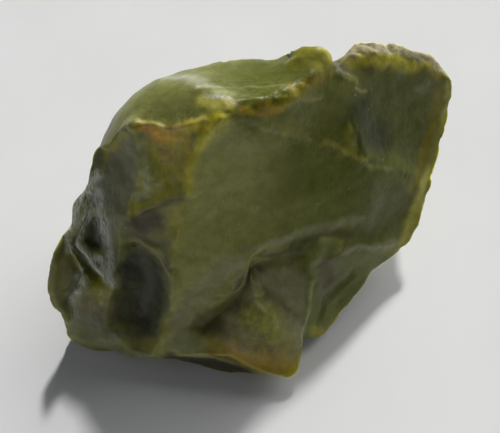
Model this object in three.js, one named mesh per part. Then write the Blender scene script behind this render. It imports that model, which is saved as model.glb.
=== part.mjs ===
// Raw green opal: one broken lump of massive opal, about 70 mm long, that rests on a flat fracture.
//
// Units are millimetres. +X runs along the length, +Y away from the front and +Z up. The origin is
// at the middle of the lump's footprint box, on the resting plane Z = 0.
//
// The surface is a net of ridge lines with one fracture face in every mesh of the net. A face is a
// soap film hung on its ridges, then hollowed or domed as conchoidal fractures are.

import * as THREE from 'three';

// ---------------------------------------------------------------------------------------------
// Driving dimensions
// ---------------------------------------------------------------------------------------------

const STEP = 1.5; // side of a surface triangle
const EDGE_CLEARANCE = 0.62; // least distance of an inner vertex from a ridge, in steps
const FILM_PASSES = 260; // sweeps that settle a film on its ridges
const ROUNDING_PASSES = 4; // smoothing sweeps over the rounded ridges and the faces
const ROUNDING = 0.5; // share of the way to the neighbours' mean that a sweep moves a vertex

// ---------------------------------------------------------------------------------------------
// Ridge net. Each line runs through hand-set points [x, y, z]. A name such as crest11 stands for a
// point of another line, counted from 0, where two lines meet.
// ---------------------------------------------------------------------------------------------

const RIDGES = {
  // Crest between the domed back and the steep front, west to east.
  crest: [
    [-23.5, 4, 32], [-21, 3, 34.5], [-19.5, 4, 36], [-17.5, 4, 38], [-16, 3.5, 38.5],
    [-14.5, 4, 39], [-13, 3, 39], [-11, 2.5, 39], [-8.5, 2.5, 40], [-6, 3, 41], [-4, 2.5, 42],
    [-2, 4, 43], [1.5, 5, 43], [4.5, 5.5, 43], [7, 7, 42.5], [9.5, 10.5, 42], [12.5, 13.5, 40],
  ],
  // Brow where the dome turns down to the back.
  brow: [
    'crest0', [-24, 8, 28], [-22.5, 10.5, 31], [-19.5, 12, 33.5], [-15.5, 14, 35.5],
    [-12.5, 14.5, 36.5], [-9.5, 15.5, 37], [-6.5, 16.5, 37.5], [-3, 17, 38], [0, 17, 38],
    [3, 17, 38], [5.5, 16.5, 38.5],
  ],
  // Low swell between the dome and the saddle beside the knob.
  swell: ['crest11', [-4, 5.5, 43], [-6, 8, 42], [-8, 10.5, 40.5], 'brow6'],
  knobFront: ['brow11', [7, 13, 41], [8.5, 11, 42], 'crest15'],
  knobBack: [
    'brow11', [6.5, 14.5, 41.5], [7.5, 14.5, 42.5], [8.5, 14, 43], [9.5, 13.5, 43.5],
    [11, 13.5, 43], [12.5, 14, 41], 'crest16',
  ],

  // Rind of weathered crust along the top of the east lobe.
  rindFront: [
    'crest16', [14.5, 15.5, 39.5], [16, 16, 40], [18, 16, 40], [22, 17, 38], [25.5, 18.5, 35.5],
    [30, 19.5, 32], [35, 20, 27.5],
  ],
  rindBack: [
    'rindFront1', [16, 18, 39], [17.5, 18.5, 39], [20, 18.5, 38.5], [23, 20, 37], [26.5, 20, 35],
    [30.5, 21.5, 32], [33.5, 21.5, 28.5], 'rindFront7',
  ],
  edge: [
    'rindFront7', [35.5, 18.5, 25], [35.5, 15.5, 21], [34.5, 11, 17.5], [33.5, 6.5, 14],
    [32.5, 4.5, 12.5], [31.5, -0.5, 8.5], [29, -3, 6.5],
  ],

  // Broad front face and its borders.
  crease: [
    'crest16', [14, 11, 39.5], [14.5, 9, 36.5], [16.5, 6, 32], [18, 4.5, 29], [20.5, 2, 23],
    [21, -0.5, 18],
  ],
  crack: ['crease4', [22.5, 4.5, 24], [28.5, 5.5, 18.5], 'edge4'],
  rim: [
    'crease6', [17, -2.5, 18], [12.5, -4, 19], [8.5, -5, 20], [5, -6.5, 20.5], [2, -8, 20.5],
    [0, -9.5, 20],
  ],
  arris: [
    'crest10', [-6, 1, 39.5], [-7.5, -0.5, 36.5], [-8.5, -2.5, 33.5], [-9.5, -4, 30.5],
    [-10.5, -6, 27.5], [-11.5, -8.5, 24], [-12.5, -11, 20.5], [-12.5, -14, 17],
    [-13.5, -16.5, 13.5], [-15, -19.5, 9.5], [-17.5, -23, 5.5],
  ],
  bench: ['arris8', [-8, -12, 19], [-4, -10.5, 20], 'rim6'],

  // Lower front: the scarp, the flap below it and the scoop beside it.
  scarp: [
    'rim6', [-0.5, -11.5, 17], [-1, -13, 15.5], [-3.5, -14.5, 14], [-6, -15.5, 13], [-8, -16, 12],
    [-9.5, -17.5, 10.5], [-10.5, -19, 9],
  ],
  hump: [
    [0, -10, 15.5], [1, -12, 15], [2, -14.5, 13.5], [4, -16, 12.5], [6.5, -17, 11.5], [8, -18, 10],
    [9, -19.5, 8],
  ],
  neck: ['rim6', 'hump0'],
  gully: [
    'hump0', [0, -11.5, 13], [-1.5, -13.5, 11.5], [-4, -15.5, 10.5], [-6.5, -17, 9.5],
    [-8.5, -18.5, 8.5], 'scarp7',
  ],
  flap: [
    'hump6', [9.5, -21, 6.5], [9, -23, 5], [8.5, -25.5, 3.5], [7, -26.5, 3.5], [4.5, -26, 4],
    [2, -25.5, 5], [-1, -24, 6], [-3.5, -23, 7], [-6.5, -21, 8], 'scarp7',
  ],
  scoopRim: ['hump0', [3.5, -8.5, 17.5], [7, -8, 17], [9.5, -7, 16.5]],
  scoopEdge: ['scoopRim3', [11, -8.5, 14], [10.5, -11, 12], [10, -14, 10.5], [10, -17, 9], 'hump6'],
  ledge: [
    'scoopRim3', [12.5, -5.5, 16.5], [15, -4.5, 16.5], [19, -5, 14], [23.5, -4.5, 11.5],
    [28.5, -2.5, 8.5], 'edge6',
  ],
  lip: ['ledge1', 'rim2'],
  pocket: ['crease6', [20.5, -3, 15], 'ledge3'],
  shelf: ['ledge3', [16, -7, 13.5], 'scoopEdge1'],
  keel: ['scoopEdge1', [17, -8, 10], 'foot2'],
  foot: [
    'edge7', [26.5, -5, 6], [24, -6.5, 5], [20, -11.5, 3.5], [17, -15, 2], [13, -19, 2],
    [10.5, -19.5, 4.5], 'hump6',
  ],

  // West end: the prow, the fluted faces and the lobe.
  prow: [
    'crest2', [-21, 3.5, 33.5], [-22.5, 2.5, 31.5], [-23.5, 1, 30], [-24, 0, 28.5],
    [-25, -1.5, 26.5],
  ],
  west: [
    'crest0', [-24.5, 3, 31], [-25, 1.5, 29.5], [-25.5, -0.5, 28], [-26.5, -1, 26.5],
    [-28.5, -2, 24.5], [-29, -4.5, 22.5], [-30.5, -6.5, 21.5],
  ],
  shoulder: [
    'crest4', [-16, 2, 36], [-16, -0.5, 33.5], [-16, -2.5, 31], [-17, -3.5, 28.5],
    [-19.5, -4.5, 25.5],
  ],
  brim: ['shoulder5', [-15.5, -4.5, 28], [-12.5, -4, 29.5], 'arris4'],
  cirque: [
    'shoulder5', [-21, -5, 25], [-21, -7.5, 21.5], [-19, -7, 20.5], [-16.5, -8.5, 21],
    [-14, -9.5, 21], 'arris7',
  ],
  vee: ['cirque1', [-23.5, -4.5, 23], [-26, -4.5, 23.5], [-28.5, -7, 20.5]],
  gem: ['vee3', [-26, -8, 18.5], [-24.5, -9, 17], [-24, -6.5, 19.5], 'vee1'],
  fold: ['vee3', [-26.5, -9, 17.5], [-25, -11, 15], [-23, -13, 15.5]],
  rib: [
    'cirque2', [-22, -10.5, 18.5], 'fold3', [-24.5, -15, 11.5], [-25.5, -17.5, 8.5], 'hem4',
  ],
  notch: ['prow5', 'vee2'],
  flute: ['prow5', 'west4'],
  veeFoot: ['prow5', [-27, -4, 22.5], [-29.5, -7, 19], [-28, -9.5, 15], [-26.5, -10.5, 13.5], 'fold2'],
  terrace: [
    'west4', [-27, -3.5, 25], [-28, -5, 22.5], [-30, -7, 20], [-29, -9, 18], [-28.5, -11, 15.5],
    [-30, -13, 13], 'lobeRidge5',
  ],
  strut: ['veeFoot3', 'terrace5'],
  lobeRidge: [
    'west7', [-30.5, -7.3, 19], [-30, -9, 16], [-29.5, -11, 14], [-31.5, -12.5, 11.5],
    [-32.5, -14, 9.5], 'lobe5',
  ],
  lobe: [
    'west7', [-31.5, -9.5, 22], [-33, -12, 18.5], [-34.5, -14.5, 13.5], [-34, -16, 10],
    [-33.5, -17, 7],
  ],
  hem: [
    'lobe5', [-34, -17.5, 4], [-34, -19, 1], [-31, -19.5, 2.5], [-26.5, -19.5, 4], [-24, -21, 4],
    [-20.5, -22, 4.5], 'arris11',
  ],
  belly: ['arris11', [-13, -23, 6], [-8.5, -23, 7], 'flap8'],
  under: ['arris11', [-11, -23.5, 1.5], 'sole6'],
  tuck: ['sole7', [1, -25.5, 2], 'flap6'],
  toe: ['foot5', 'sole9'],

  // Outline of the flat resting face, from the west corner along the front and round the back.
  sole: [
    'hem2', [-33, -19.5, 0], [-29, -21, 0], [-25.5, -21, 0], [-20, -20.5, 0], [-12.5, -22.5, 0],
    [-6.5, -24.5, 0], [-2, -25, 0], [4, -22, 0], [9, -18, 0], [13, -14.5, 0], [18.5, -9, 0],
    [20, 0, 0], [15.5, 8.5, 0], [9, 12.5, 0], [-3, 17, 0], [-14, 12, 0], [-23.5, 7.5, 0],
    [-27, -3, 0], [-31.5, -11, 0], 'sole1',
  ],
  heel: ['sole3', [-22, -22.5, 2], 'arris11'],

  // Back and ends.
  hip: [
    [-24, 11, 16], [-18, 18, 17.5], [-10, 20.5, 18.5], [0, 22, 20], [8, 21, 21], [13, 20.5, 22],
    [18, 23.5, 24], [24, 25, 22.5], [30, 25, 20], [33.5, 22.5, 17],
  ],
  backWest: ['brow1', [-24.5, 9.5, 22], 'hip0', [-25, 9, 8], 'sole17'],
  backMiddle: ['brow6', [-10.5, 18, 30.5], 'hip2', [-6, 20.5, 9], 'sole15'],
  groove: ['crest16', [13, 17.5, 32], 'hip5', [10.5, 16, 10], 'sole14'],
  backEast: ['rindFront7', [35, 22, 22], 'hip9', [24, 17, 8], 'sole13'],
  westRib: ['west5', [-28.5, 0, 14], 'sole18'],
  eastRib: ['edge4', [28, 5, 6.5], 'sole12'],
};

// Ridges worn round enough for the faces beside them to run together.
const ROUNDED = [
  'brow', 'swell', 'hip', 'backWest', 'backMiddle', 'groove', 'westRib', 'eastRib', 'bench', 'toe',
];

// ---------------------------------------------------------------------------------------------
// Fracture faces. `round` lists corners of the outline, anticlockwise seen from outside; between
// two corners the outline follows the ridge line that they share. `swell` is how far the middle
// of the face stands out, or is hollowed where it is negative.
// ---------------------------------------------------------------------------------------------

const FACES = {
  // Top.
  dome: { round: 'crest0 crest11 brow6', swell: 1.6 },
  saddle: { round: 'crest11 crest15 brow11 brow6', swell: -1.2 },
  knob: { round: 'brow11 crest15 crest16', swell: 0.4 },
  rind: { round: 'rindFront1 rindFront4 rindFront7 rindBack4', swell: 0.3 },

  // Front.
  front: { round: 'crest10 arris8 rim6 crease6 crest16', swell: -0.8 },
  eastFace: { round: 'crest16 crease4 edge4 rindFront7', swell: -1.6 },
  eastLow: { round: 'crease4 crease6 ledge3 edge6 edge4', swell: -0.8 },
  apron: { round: 'arris8 arris11 flap8 scarp7 rim6', swell: -0.6 },
  scarpFace: { round: 'rim6 scarp7 hump0', swell: 0 },
  flapFace: { round: 'hump0 scarp7 hump6', swell: 1.6 },
  scoop: { round: 'hump0 hump6 scoopRim3', swell: -1 },
  rimBand: { round: 'rim6 hump0 scoopRim3 ledge1 rim2', swell: -1 },
  pocketFace: { round: 'rim2 ledge1 ledge3 crease6', swell: -2 },
  shelfFace: { round: 'scoopRim3 scoopEdge1 ledge3', swell: 0 },
  sideFace: { round: 'ledge3 scoopEdge1 foot2 edge7 edge6', swell: -0.6 },
  footFace: { round: 'scoopEdge1 hump6 foot2', swell: -1 },

  // West end.
  nubFace: { round: 'crest0 west4 prow5 crest2', swell: -0.5 },
  prowFace: { round: 'crest4 crest2 prow5 vee2 cirque1 shoulder5', swell: -0.5 },
  shoulderFace: { round: 'crest4 shoulder5 arris4 crest10', swell: -1.2 },
  brimFace: { round: 'shoulder5 arris7 arris4', swell: -0.8 },
  cirqueFace: { round: 'cirque2 hem4 arris11 arris7', swell: -3 },
  gemFace: { round: 'vee1 vee3 gem2', swell: -1 },
  sheenFace: { round: 'cirque1 vee1 gem2 vee3 fold3 cirque2', swell: -0.6 },
  trough: { round: 'prow5 west4 terrace2 terrace5 veeFoot3 veeFoot1', swell: -0.4 },
  veeRiser: { round: 'prow5 veeFoot2 fold2 fold1 vee3 vee2', swell: 0 },
  terraceRiser: { round: 'west4 west7 lobeRidge3 lobeRidge5 terrace5 terrace2', swell: 0 },
  skirt: { round: 'terrace5 lobeRidge5 lobe5 hem4 fold3 fold2 veeFoot3', swell: -0.5 },
  lobeFace: { round: 'west7 lobe2 lobe5 lobeRidge3', swell: -0.5 },

  // Sides and back.
  westUpper: { round: 'crest0 brow1 hip0 sole17 sole18 west5', swell: -1 },
  westLower: { round: 'west5 sole18 sole1 hem2 lobe5 lobe2 west7', swell: 0.3 },
  eastUnder: { round: 'edge4 sole12 sole13 hip9 rindFront7', swell: -1.5 },
  rindBackFace: { round: 'crest16 rindFront1 rindBack4 rindFront7 hip9 hip5', swell: 1.5 },
  knobBackFace: { round: 'brow6 brow11 crest16 hip5 hip2', swell: -1.5 },
  domeBack: { round: 'brow1 brow6 hip2 hip0', swell: 1.2 },
  lowBackWest: { round: 'hip0 hip2 sole15 sole17', swell: -1.5 },
  lowBackMiddle: { round: 'hip2 hip5 sole14 sole15', swell: 0.5 },
  lowBackEast: { round: 'hip5 hip9 sole13 sole14', swell: -1.5 },

  // Underside.
  hemUnder: { round: 'hem2 sole3 arris11', swell: 0 },
  heelUnder: { round: 'sole3 sole6 arris11', swell: -0.5 },
  bellyFace: { round: 'arris11 sole6 sole7 flap6 flap8', swell: -0.8 },
  flapUnder: { round: 'flap6 sole7 sole9 foot5 hump6', swell: -1 },
  footUnder: { round: 'foot5 sole9 sole12 edge4 edge7', swell: -1.2 },
  restingFace: { round: 'sole1 sole17 sole12 sole6', swell: 0 },
};

// ---------------------------------------------------------------------------------------------
// The net: named points, and the ridge lines traced through them in steps
// ---------------------------------------------------------------------------------------------

const vertices = []; // every vertex of the surface
const pointIds = new Map(); // name of a net point -> its vertex
const tracks = new Map(); // name of a ridge -> for each stretch between its points, its vertices
const sharpIds = new Set(); // vertices on ridges that stay sharp

function addVertex(position) {
  vertices.push(position);
  return vertices.length - 1;
}

function namePoints() {
  for (const [line, points] of Object.entries(RIDGES)) {
    points.forEach((point, i) => {
      if (typeof point !== 'string') pointIds.set(line + i, addVertex(new THREE.Vector3(...point)));
    });
  }
  for (const [line, points] of Object.entries(RIDGES)) {
    points.forEach((point, i) => {
      if (typeof point === 'string') pointIds.set(line + i, pointIds.get(point));
    });
  }
}

// Traces one ridge: a smooth curve through its points, in steps of about STEP.
function traceRidge(line) {
  const ids = RIDGES[line].map((_, i) => pointIds.get(line + i));
  const curve = new THREE.CatmullRomCurve3(ids.map((id) => vertices[id]), false, 'centripetal');
  const stretches = [];
  for (let i = 0; i < ids.length - 1; i += 1) {
    const [start, end] = [vertices[ids[i]], vertices[ids[i + 1]]];
    const count = Math.max(1, Math.round(start.distanceTo(end) / STEP));
    const stretch = [ids[i]];
    for (let k = 1; k < count; k += 1) {
      const position = curve.getPoint((i + k / count) / (ids.length - 1));
      if (start.z === 0 && end.z === 0) position.z = 0;
      stretch.push(addVertex(position));
    }
    stretch.push(ids[i + 1]);
    stretches.push(stretch);
  }
  if (!ROUNDED.includes(line)) stretches.flat().forEach((id) => sharpIds.add(id));
  tracks.set(line, stretches);
}

// Vertices along the ridge that two corners share, from the first up to but not including the last.
function walk(from, to) {
  let best = null;
  for (const [line, stretches] of tracks) {
    const ids = RIDGES[line].map((_, i) => pointIds.get(line + i));
    ids.forEach((start, i) => {
      ids.forEach((end, k) => {
        if (start !== pointIds.get(from) || end !== pointIds.get(to)) return;
        if (!best || Math.abs(k - i) < Math.abs(best.k - best.i)) best = { stretches, i, k };
      });
    });
  }
  if (!best) throw new Error(`no ridge joins ${from} and ${to}`);
  const { stretches, i, k } = best;
  const path = stretches.slice(Math.min(i, k), Math.max(i, k)).flatMap((stretch) => stretch.slice(0, -1));
  path.push(stretches[Math.max(i, k) - 1].at(-1));
  if (k < i) path.reverse();
  return path.slice(0, -1);
}

// ---------------------------------------------------------------------------------------------
// Flat triangulation of a face: its outline, and a honeycomb of points inside
// ---------------------------------------------------------------------------------------------

const turn = (a, b, c) => (b.x - a.x) * (c.y - a.y) - (b.y - a.y) * (c.x - a.x);

function isInside(point, outline) {
  let inside = false;
  outline.forEach((a, i) => {
    const b = outline[(i + 1) % outline.length];
    const crosses = a.y > point.y !== b.y > point.y;
    if (crosses && point.x < a.x + ((point.y - a.y) / (b.y - a.y)) * (b.x - a.x)) inside = !inside;
  });
  return inside;
}

function distanceToOutline(point, outline) {
  const nearest = new THREE.Vector3();
  const target = new THREE.Vector3(point.x, point.y, 0);
  return Math.min(...outline.map((a, i) => {
    const b = outline[(i + 1) % outline.length];
    const side = new THREE.Line3(new THREE.Vector3(a.x, a.y, 0), new THREE.Vector3(b.x, b.y, 0));
    return side.closestPointToPoint(target, true, nearest).distanceTo(target);
  }));
}

function honeycomb(outline) {
  const box = new THREE.Box2().setFromPoints(outline);
  const rowHeight = STEP * Math.sin(Math.PI / 3);
  const points = [];
  for (let row = 0, y = box.min.y; y < box.max.y; row += 1, y += rowHeight) {
    for (let x = box.min.x + (row % 2) * STEP / 2; x < box.max.x; x += STEP) {
      const point = new THREE.Vector2(x, y);
      if (isInside(point, outline) && distanceToOutline(point, outline) > EDGE_CLEARANCE * STEP) {
        points.push(point);
      }
    }
  }
  return points;
}

// Whether d lies inside the circle through a, b and c.
function inCircle(a, b, c, d) {
  const rows = [a, b, c].map((p) => {
    const [x, y] = [p.x - d.x, p.y - d.y];
    return [x, y, x * x + y * y];
  });
  const [[ax, ay, aa], [bx, by, bb], [cx, cy, cc]] = rows;
  return ax * (by * cc - bb * cy) - ay * (bx * cc - bb * cx) + aa * (bx * cy - by * cx) > 1e-9;
}

// Triangles over the outline and the inner points. A directed side's apex is the third corner of
// the triangle on its left, so a side and its reverse name the two triangles that share it.
function triangulate(outline, inner) {
  const points = [...outline, ...inner];
  const apex = new Map();
  const key = (a, b) => a * points.length + b;
  const add = (a, b, c) => {
    apex.set(key(a, b), c);
    apex.set(key(b, c), a);
    apex.set(key(c, a), b);
  };
  const remove = (a, b, c) => [key(a, b), key(b, c), key(c, a)].forEach((side) => apex.delete(side));

  // Swaps the side that two triangles share until every circle round a triangle is empty.
  const settle = (sides) => {
    while (sides.length > 0) {
      const [a, b] = sides.pop();
      const [c, d] = [apex.get(key(a, b)), apex.get(key(b, a))];
      if (c === undefined || d === undefined) continue;
      if (!inCircle(points[a], points[b], points[c], points[d])) continue;
      remove(a, b, c);
      remove(b, a, d);
      add(a, d, c);
      add(d, b, c);
      sides.push([a, d], [d, b], [b, c], [c, a]);
    }
  };

  const ears = THREE.ShapeUtils.triangulateShape(outline, []);
  ears.forEach(([a, b, c]) => add(a, b, c));
  settle(ears.flatMap(([a, b, c]) => [[a, b], [b, c], [c, a]]));
  inner.forEach((point, i) => {
    const p = outline.length + i;
    for (const [side, c] of apex) {
      const [a, b] = [Math.floor(side / points.length), side % points.length];
      const corners = [points[a], points[b], points[c]];
      if (corners.some((corner, k) => turn(corner, corners[(k + 1) % 3], point) < 0)) continue;
      remove(a, b, c);
      add(a, b, p);
      add(b, c, p);
      add(c, a, p);
      settle([[a, b], [b, c], [c, a]]);
      break;
    }
  });

  const triangles = [];
  for (const [side, c] of apex) {
    const [a, b] = [Math.floor(side / points.length), side % points.length];
    if (a < b && a < c) triangles.push([a, b, c]);
  }
  return triangles;
}

// ---------------------------------------------------------------------------------------------
// The films
// ---------------------------------------------------------------------------------------------

function neighbourLists(count, triangles) {
  const lists = Array.from({ length: count }, () => new Set());
  for (const [a, b, c] of triangles) {
    lists[a].add(b).add(c);
    lists[b].add(c).add(a);
    lists[c].add(a).add(b);
  }
  return lists.map((list) => [...list]);
}

// Heights of a film held at its first `heldCount` points under an even load.
function settleFilm(heights, heldCount, neighbours, load) {
  for (let pass = 0; pass < FILM_PASSES; pass += 1) {
    for (let i = heldCount; i < heights.length; i += 1) {
      const sum = neighbours[i].reduce((total, k) => total + heights[k], 0);
      heights[i] = sum / neighbours[i].length + load;
    }
  }
  return heights;
}

// Plane of best fit through a ring of points, its normal on the side from which the ring turns
// anticlockwise.
function facePlane(ring) {
  const middle = ring.reduce((sum, p) => sum.add(p), new THREE.Vector3()).divideScalar(ring.length);
  const normal = new THREE.Vector3();
  ring.forEach((p, i) => {
    const next = ring[(i + 1) % ring.length];
    normal.add(p.clone().sub(middle).cross(next.clone().sub(middle)));
  });
  normal.normalize();
  const along = ring[0].clone().sub(middle).projectOnPlane(normal).normalize();
  return { middle, normal, along, across: normal.clone().cross(along) };
}

function fillFace({ round, swell }) {
  const corners = round.split(' ');
  const ids = corners.flatMap((corner, i) => walk(corner, corners[(i + 1) % corners.length]));
  const ring = ids.map((id) => vertices[id]);
  const { middle, normal, along, across } = facePlane(ring);
  const offsets = ring.map((p) => p.clone().sub(middle));
  const outline = offsets.map((offset) => new THREE.Vector2(offset.dot(along), offset.dot(across)));
  const inner = honeycomb(outline);
  const triangles = triangulate(outline, inner);

  const neighbours = neighbourLists(outline.length + inner.length, triangles);
  const ringHeights = offsets.map((offset) => offset.dot(normal));
  const film = settleFilm([...ringHeights, ...inner.map(() => 0)], ring.length, neighbours, 0);
  const bulge = settleFilm(film.map(() => 0), ring.length, neighbours, 1);
  const bulgeTop = Math.max(...bulge, 1);

  inner.forEach((point, i) => {
    const height = film[ring.length + i] + (swell * bulge[ring.length + i]) / bulgeTop;
    const position = middle.clone().addScaledVector(along, point.x).addScaledVector(across, point.y);
    ids.push(addVertex(position.addScaledVector(normal, height)));
  });
  return triangles.map((corner) => corner.map((i) => ids[i]));
}

// Smooths everything but the sharp ridges.
function roundOff(triangles) {
  const neighbours = neighbourLists(vertices.length, triangles);
  for (let pass = 0; pass < ROUNDING_PASSES; pass += 1) {
    const means = vertices.map((vertex, id) => {
      const sum = neighbours[id].reduce((total, k) => total.add(vertices[k]), new THREE.Vector3());
      return sum.divideScalar(neighbours[id].length);
    });
    vertices.forEach((vertex, id) => {
      if (!sharpIds.has(id)) vertex.lerp(means[id], ROUNDING);
    });
  }
}

function opalGeometry() {
  namePoints();
  Object.keys(RIDGES).forEach(traceRidge);
  const triangles = Object.values(FACES).flatMap(fillFace);
  roundOff(triangles);
  const geometry = new THREE.BufferGeometry();
  const positions = vertices.flatMap((vertex) => vertex.toArray());
  geometry.setAttribute('position', new THREE.Float32BufferAttribute(positions, 3));
  geometry.setIndex(triangles.flat());
  geometry.computeBoundingBox();
  const centre = geometry.boundingBox.getCenter(new THREE.Vector3());
  geometry.translate(-centre.x, -centre.y, 0);
  geometry.computeVertexNormals();
  return geometry;
}

const opal = new THREE.Mesh(
  opalGeometry(),
  new THREE.MeshStandardMaterial({ color: 0x5d662b, roughness: 0.38, metalness: 0 }),
);
opal.name = 'green_opal';

const model = new THREE.Group();
model.add(opal);

export default model;
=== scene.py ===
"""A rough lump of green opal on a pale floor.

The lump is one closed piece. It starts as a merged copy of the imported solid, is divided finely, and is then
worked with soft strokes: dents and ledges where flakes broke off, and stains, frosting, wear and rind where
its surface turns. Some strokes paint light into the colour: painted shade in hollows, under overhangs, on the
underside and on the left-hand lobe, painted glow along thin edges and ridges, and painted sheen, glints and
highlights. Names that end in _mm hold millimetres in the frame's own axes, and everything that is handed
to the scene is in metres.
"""

import logging
import math
from dataclasses import dataclass
from enum import Enum

import bmesh
import bpy
import numpy as np
from mathutils import Euler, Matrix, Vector, noise
from mathutils.bvhtree import BVHTree


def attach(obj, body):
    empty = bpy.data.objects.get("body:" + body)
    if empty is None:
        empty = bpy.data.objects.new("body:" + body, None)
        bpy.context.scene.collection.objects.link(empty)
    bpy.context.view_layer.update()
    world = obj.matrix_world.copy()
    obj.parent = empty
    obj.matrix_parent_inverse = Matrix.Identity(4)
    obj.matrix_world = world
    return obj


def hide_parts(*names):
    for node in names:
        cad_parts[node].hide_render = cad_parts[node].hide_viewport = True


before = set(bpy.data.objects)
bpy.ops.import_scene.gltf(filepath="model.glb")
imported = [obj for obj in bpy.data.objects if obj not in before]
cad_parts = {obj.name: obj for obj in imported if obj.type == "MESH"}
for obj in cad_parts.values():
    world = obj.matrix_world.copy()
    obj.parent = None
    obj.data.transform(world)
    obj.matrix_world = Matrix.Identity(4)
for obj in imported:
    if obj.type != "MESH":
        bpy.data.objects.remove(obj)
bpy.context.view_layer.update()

LOG = logging.getLogger("rough_opal")

Triple = tuple[float, float, float]
Line = tuple[Triple, ...]
Span = tuple[Triple, Triple]
Mesh = bpy.types.Mesh
Socket = bpy.types.NodeSocket
MM = 0.001
DRIFT_SEED = 7


class Layer(Enum):
    """The names under which the stone's mesh carries what its finish reads."""

    TINT = "tint"
    # Partly frosted breaks, partly painted sheen and glints.
    FROST = "frost"
    COMB = "comb"
    RIND = "rind"
    WEAR = "wear"


class Tone(Enum):
    """The stone's colours, as linear red, green and blue."""

    MOSS = (0.330, 0.342, 0.105)
    FERN = (0.155, 0.172, 0.018)
    DEEP = (0.120, 0.135, 0.018)
    DULL = (0.200, 0.210, 0.060)
    BOTTLE = (0.034, 0.040, 0.012)
    OLIVE = (0.340, 0.320, 0.035)
    GOLD = (0.680, 0.600, 0.050)
    STRAW = (0.560, 0.530, 0.120)
    OCHRE = (0.500, 0.360, 0.025)
    RUST = (0.620, 0.330, 0.035)
    BARK = (0.120, 0.100, 0.040)
    PLUM = (0.050, 0.040, 0.028)
    SLATE = (0.178, 0.182, 0.100)
    ASH = (0.292, 0.288, 0.155)
    MILKY = (0.400, 0.420, 0.220)
    BLUSH = (0.560, 0.470, 0.200)
    # Pale: the colour of frosted breaks, and also of painted sheen, glints and highlights.
    FROST = (0.620, 0.630, 0.580)
    TAN = (0.385, 0.350, 0.208)


# ---- Strokes ----


@dataclass
class Surface:
    """The stone's points while it is being worked.

    Attributes:
        places: Where each point is, in millimetres.
        normals: The unit normals there.
        drift: A slow noise vector at each point, which makes the edges of strokes ragged.
    """

    places: np.ndarray
    normals: np.ndarray
    drift: np.ndarray

    @classmethod
    def of(cls, mesh: Mesh) -> "Surface":
        """Reads the points of a mesh.

        Args:
            mesh: The stone's mesh.

        Returns:
            Its points as they are now.
        """
        grain_mm, octaves = 3.0, 3
        places = read_points(mesh)
        drift = [noise.turbulence_vector(Vector(place) / grain_mm, octaves, False) for place in places]
        return cls(places, read_rows(mesh.vertex_normals, "vector"), np.array(drift))

    def noise(self, grain_mm: float, octaves: int = 3, shift: float = 0.0) -> np.ndarray:
        """Makes noise on the surface.

        Args:
            grain_mm: The width of its broadest grains.
            octaves: The number of finer layers.
            shift: Picks another part of the noise.

        Returns:
            A number at each point, roughly from -1 to 1.
        """
        fading, finer = 0.7, 2.1
        start = Vector((shift, 0.37 * shift, 0.71 * shift))
        return np.array(
            [noise.fractal(Vector(place) / grain_mm + start, fading, finer, octaves) for place in self.places]
        )


@dataclass(frozen=True)
class Stroke:
    """A soft brush stroke along a line near the surface.

    Attributes:
        line_mm: The points that it runs through; a single point makes a dab.
        reach_mm: How far it spreads from the line.
        fade: The share of the reach over which it fades out.
        toward: The way that the surface must face to take the stroke, or None.
        ragged_mm: How far its edge wanders.
    """

    line_mm: Line
    reach_mm: float
    fade: float = 1.0
    toward: Triple | None = None
    ragged_mm: float = 0.8

    def mask(self, surface: Surface) -> np.ndarray:
        """Measures how strongly the stroke touches the surface.

        Args:
            surface: The stone's points.

        Returns:
            A number from 0 to 1 at each point.
        """
        away = np.linalg.norm(self.offset(surface.places + self.ragged_mm * surface.drift), axis=1)
        touched = smooth(away, self.reach_mm, self.reach_mm * (1.0 - self.fade))
        if self.toward is not None:
            touched *= smooth(surface.normals @ unit(self.toward), start=0.42, stop=0.62)
        return touched

    def offset(self, places: np.ndarray) -> np.ndarray:
        """Measures from the line.

        Args:
            places: The places to measure to.

        Returns:
            The vector to each place from the nearest point of the line.
        """
        best = places - np.array(self.line_mm[0])
        for start, end in zip(np.array(self.line_mm[:-1]), np.array(self.line_mm[1:])):
            run = end - start
            share = np.clip((places - start) @ run / (run @ run), 0.0, 1.0)
            here = places - (start + share[:, None] * run)
            nearer = np.linalg.norm(here, axis=1) < np.linalg.norm(best, axis=1)
            best[nearer] = here[nearer]
        return best


Touch = tuple[Stroke, float]


@dataclass(frozen=True)
class Stain:
    """A stroke that changes the stone's colour.

    Attributes:
        where: The stroke.
        tone: The new colour.
        strength: How far it hides what is under it.
    """

    where: Stroke
    tone: Tone
    strength: float


@dataclass(frozen=True)
class Dent:
    """A stroke that presses the surface in, or raises it where its depth is below zero."""

    where: Stroke
    depth_mm: float

    def push(self, surface: Surface) -> np.ndarray:
        """Returns how far it moves each point outward."""
        return -self.depth_mm * self.where.mask(surface)


@dataclass(frozen=True)
class Ledge:
    """A low step, left where one flake ended on top of another.

    Attributes:
        where: The stroke along the step's foot.
        high_side: The way from the foot to the high side.
        height_mm: How far the high side stands out.
        riser_mm: The width of the steep part.
        ragged_mm: How far the foot wanders.
    """

    where: Stroke
    high_side: Triple
    height_mm: float
    riser_mm: float = 0.7
    ragged_mm: float = 0.4

    def push(self, surface: Surface) -> np.ndarray:
        """Measures how far the step moves the surface.

        Args:
            surface: The stone's points.

        Returns:
            How far it moves each point outward.
        """
        across = self.where.offset(surface.places + self.ragged_mm * surface.drift) @ unit(self.high_side)
        step = smooth(across, -self.riser_mm / 2, self.riser_mm / 2)
        return self.height_mm * step * self.where.mask(surface)


@dataclass(frozen=True)
class Rub:
    """A stroke that rubs a ridge or a crease away.

    Attributes:
        where: The stroke.
        passes: How far it reaches from the surface's own points.
    """

    where: Stroke
    passes: int


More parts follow.
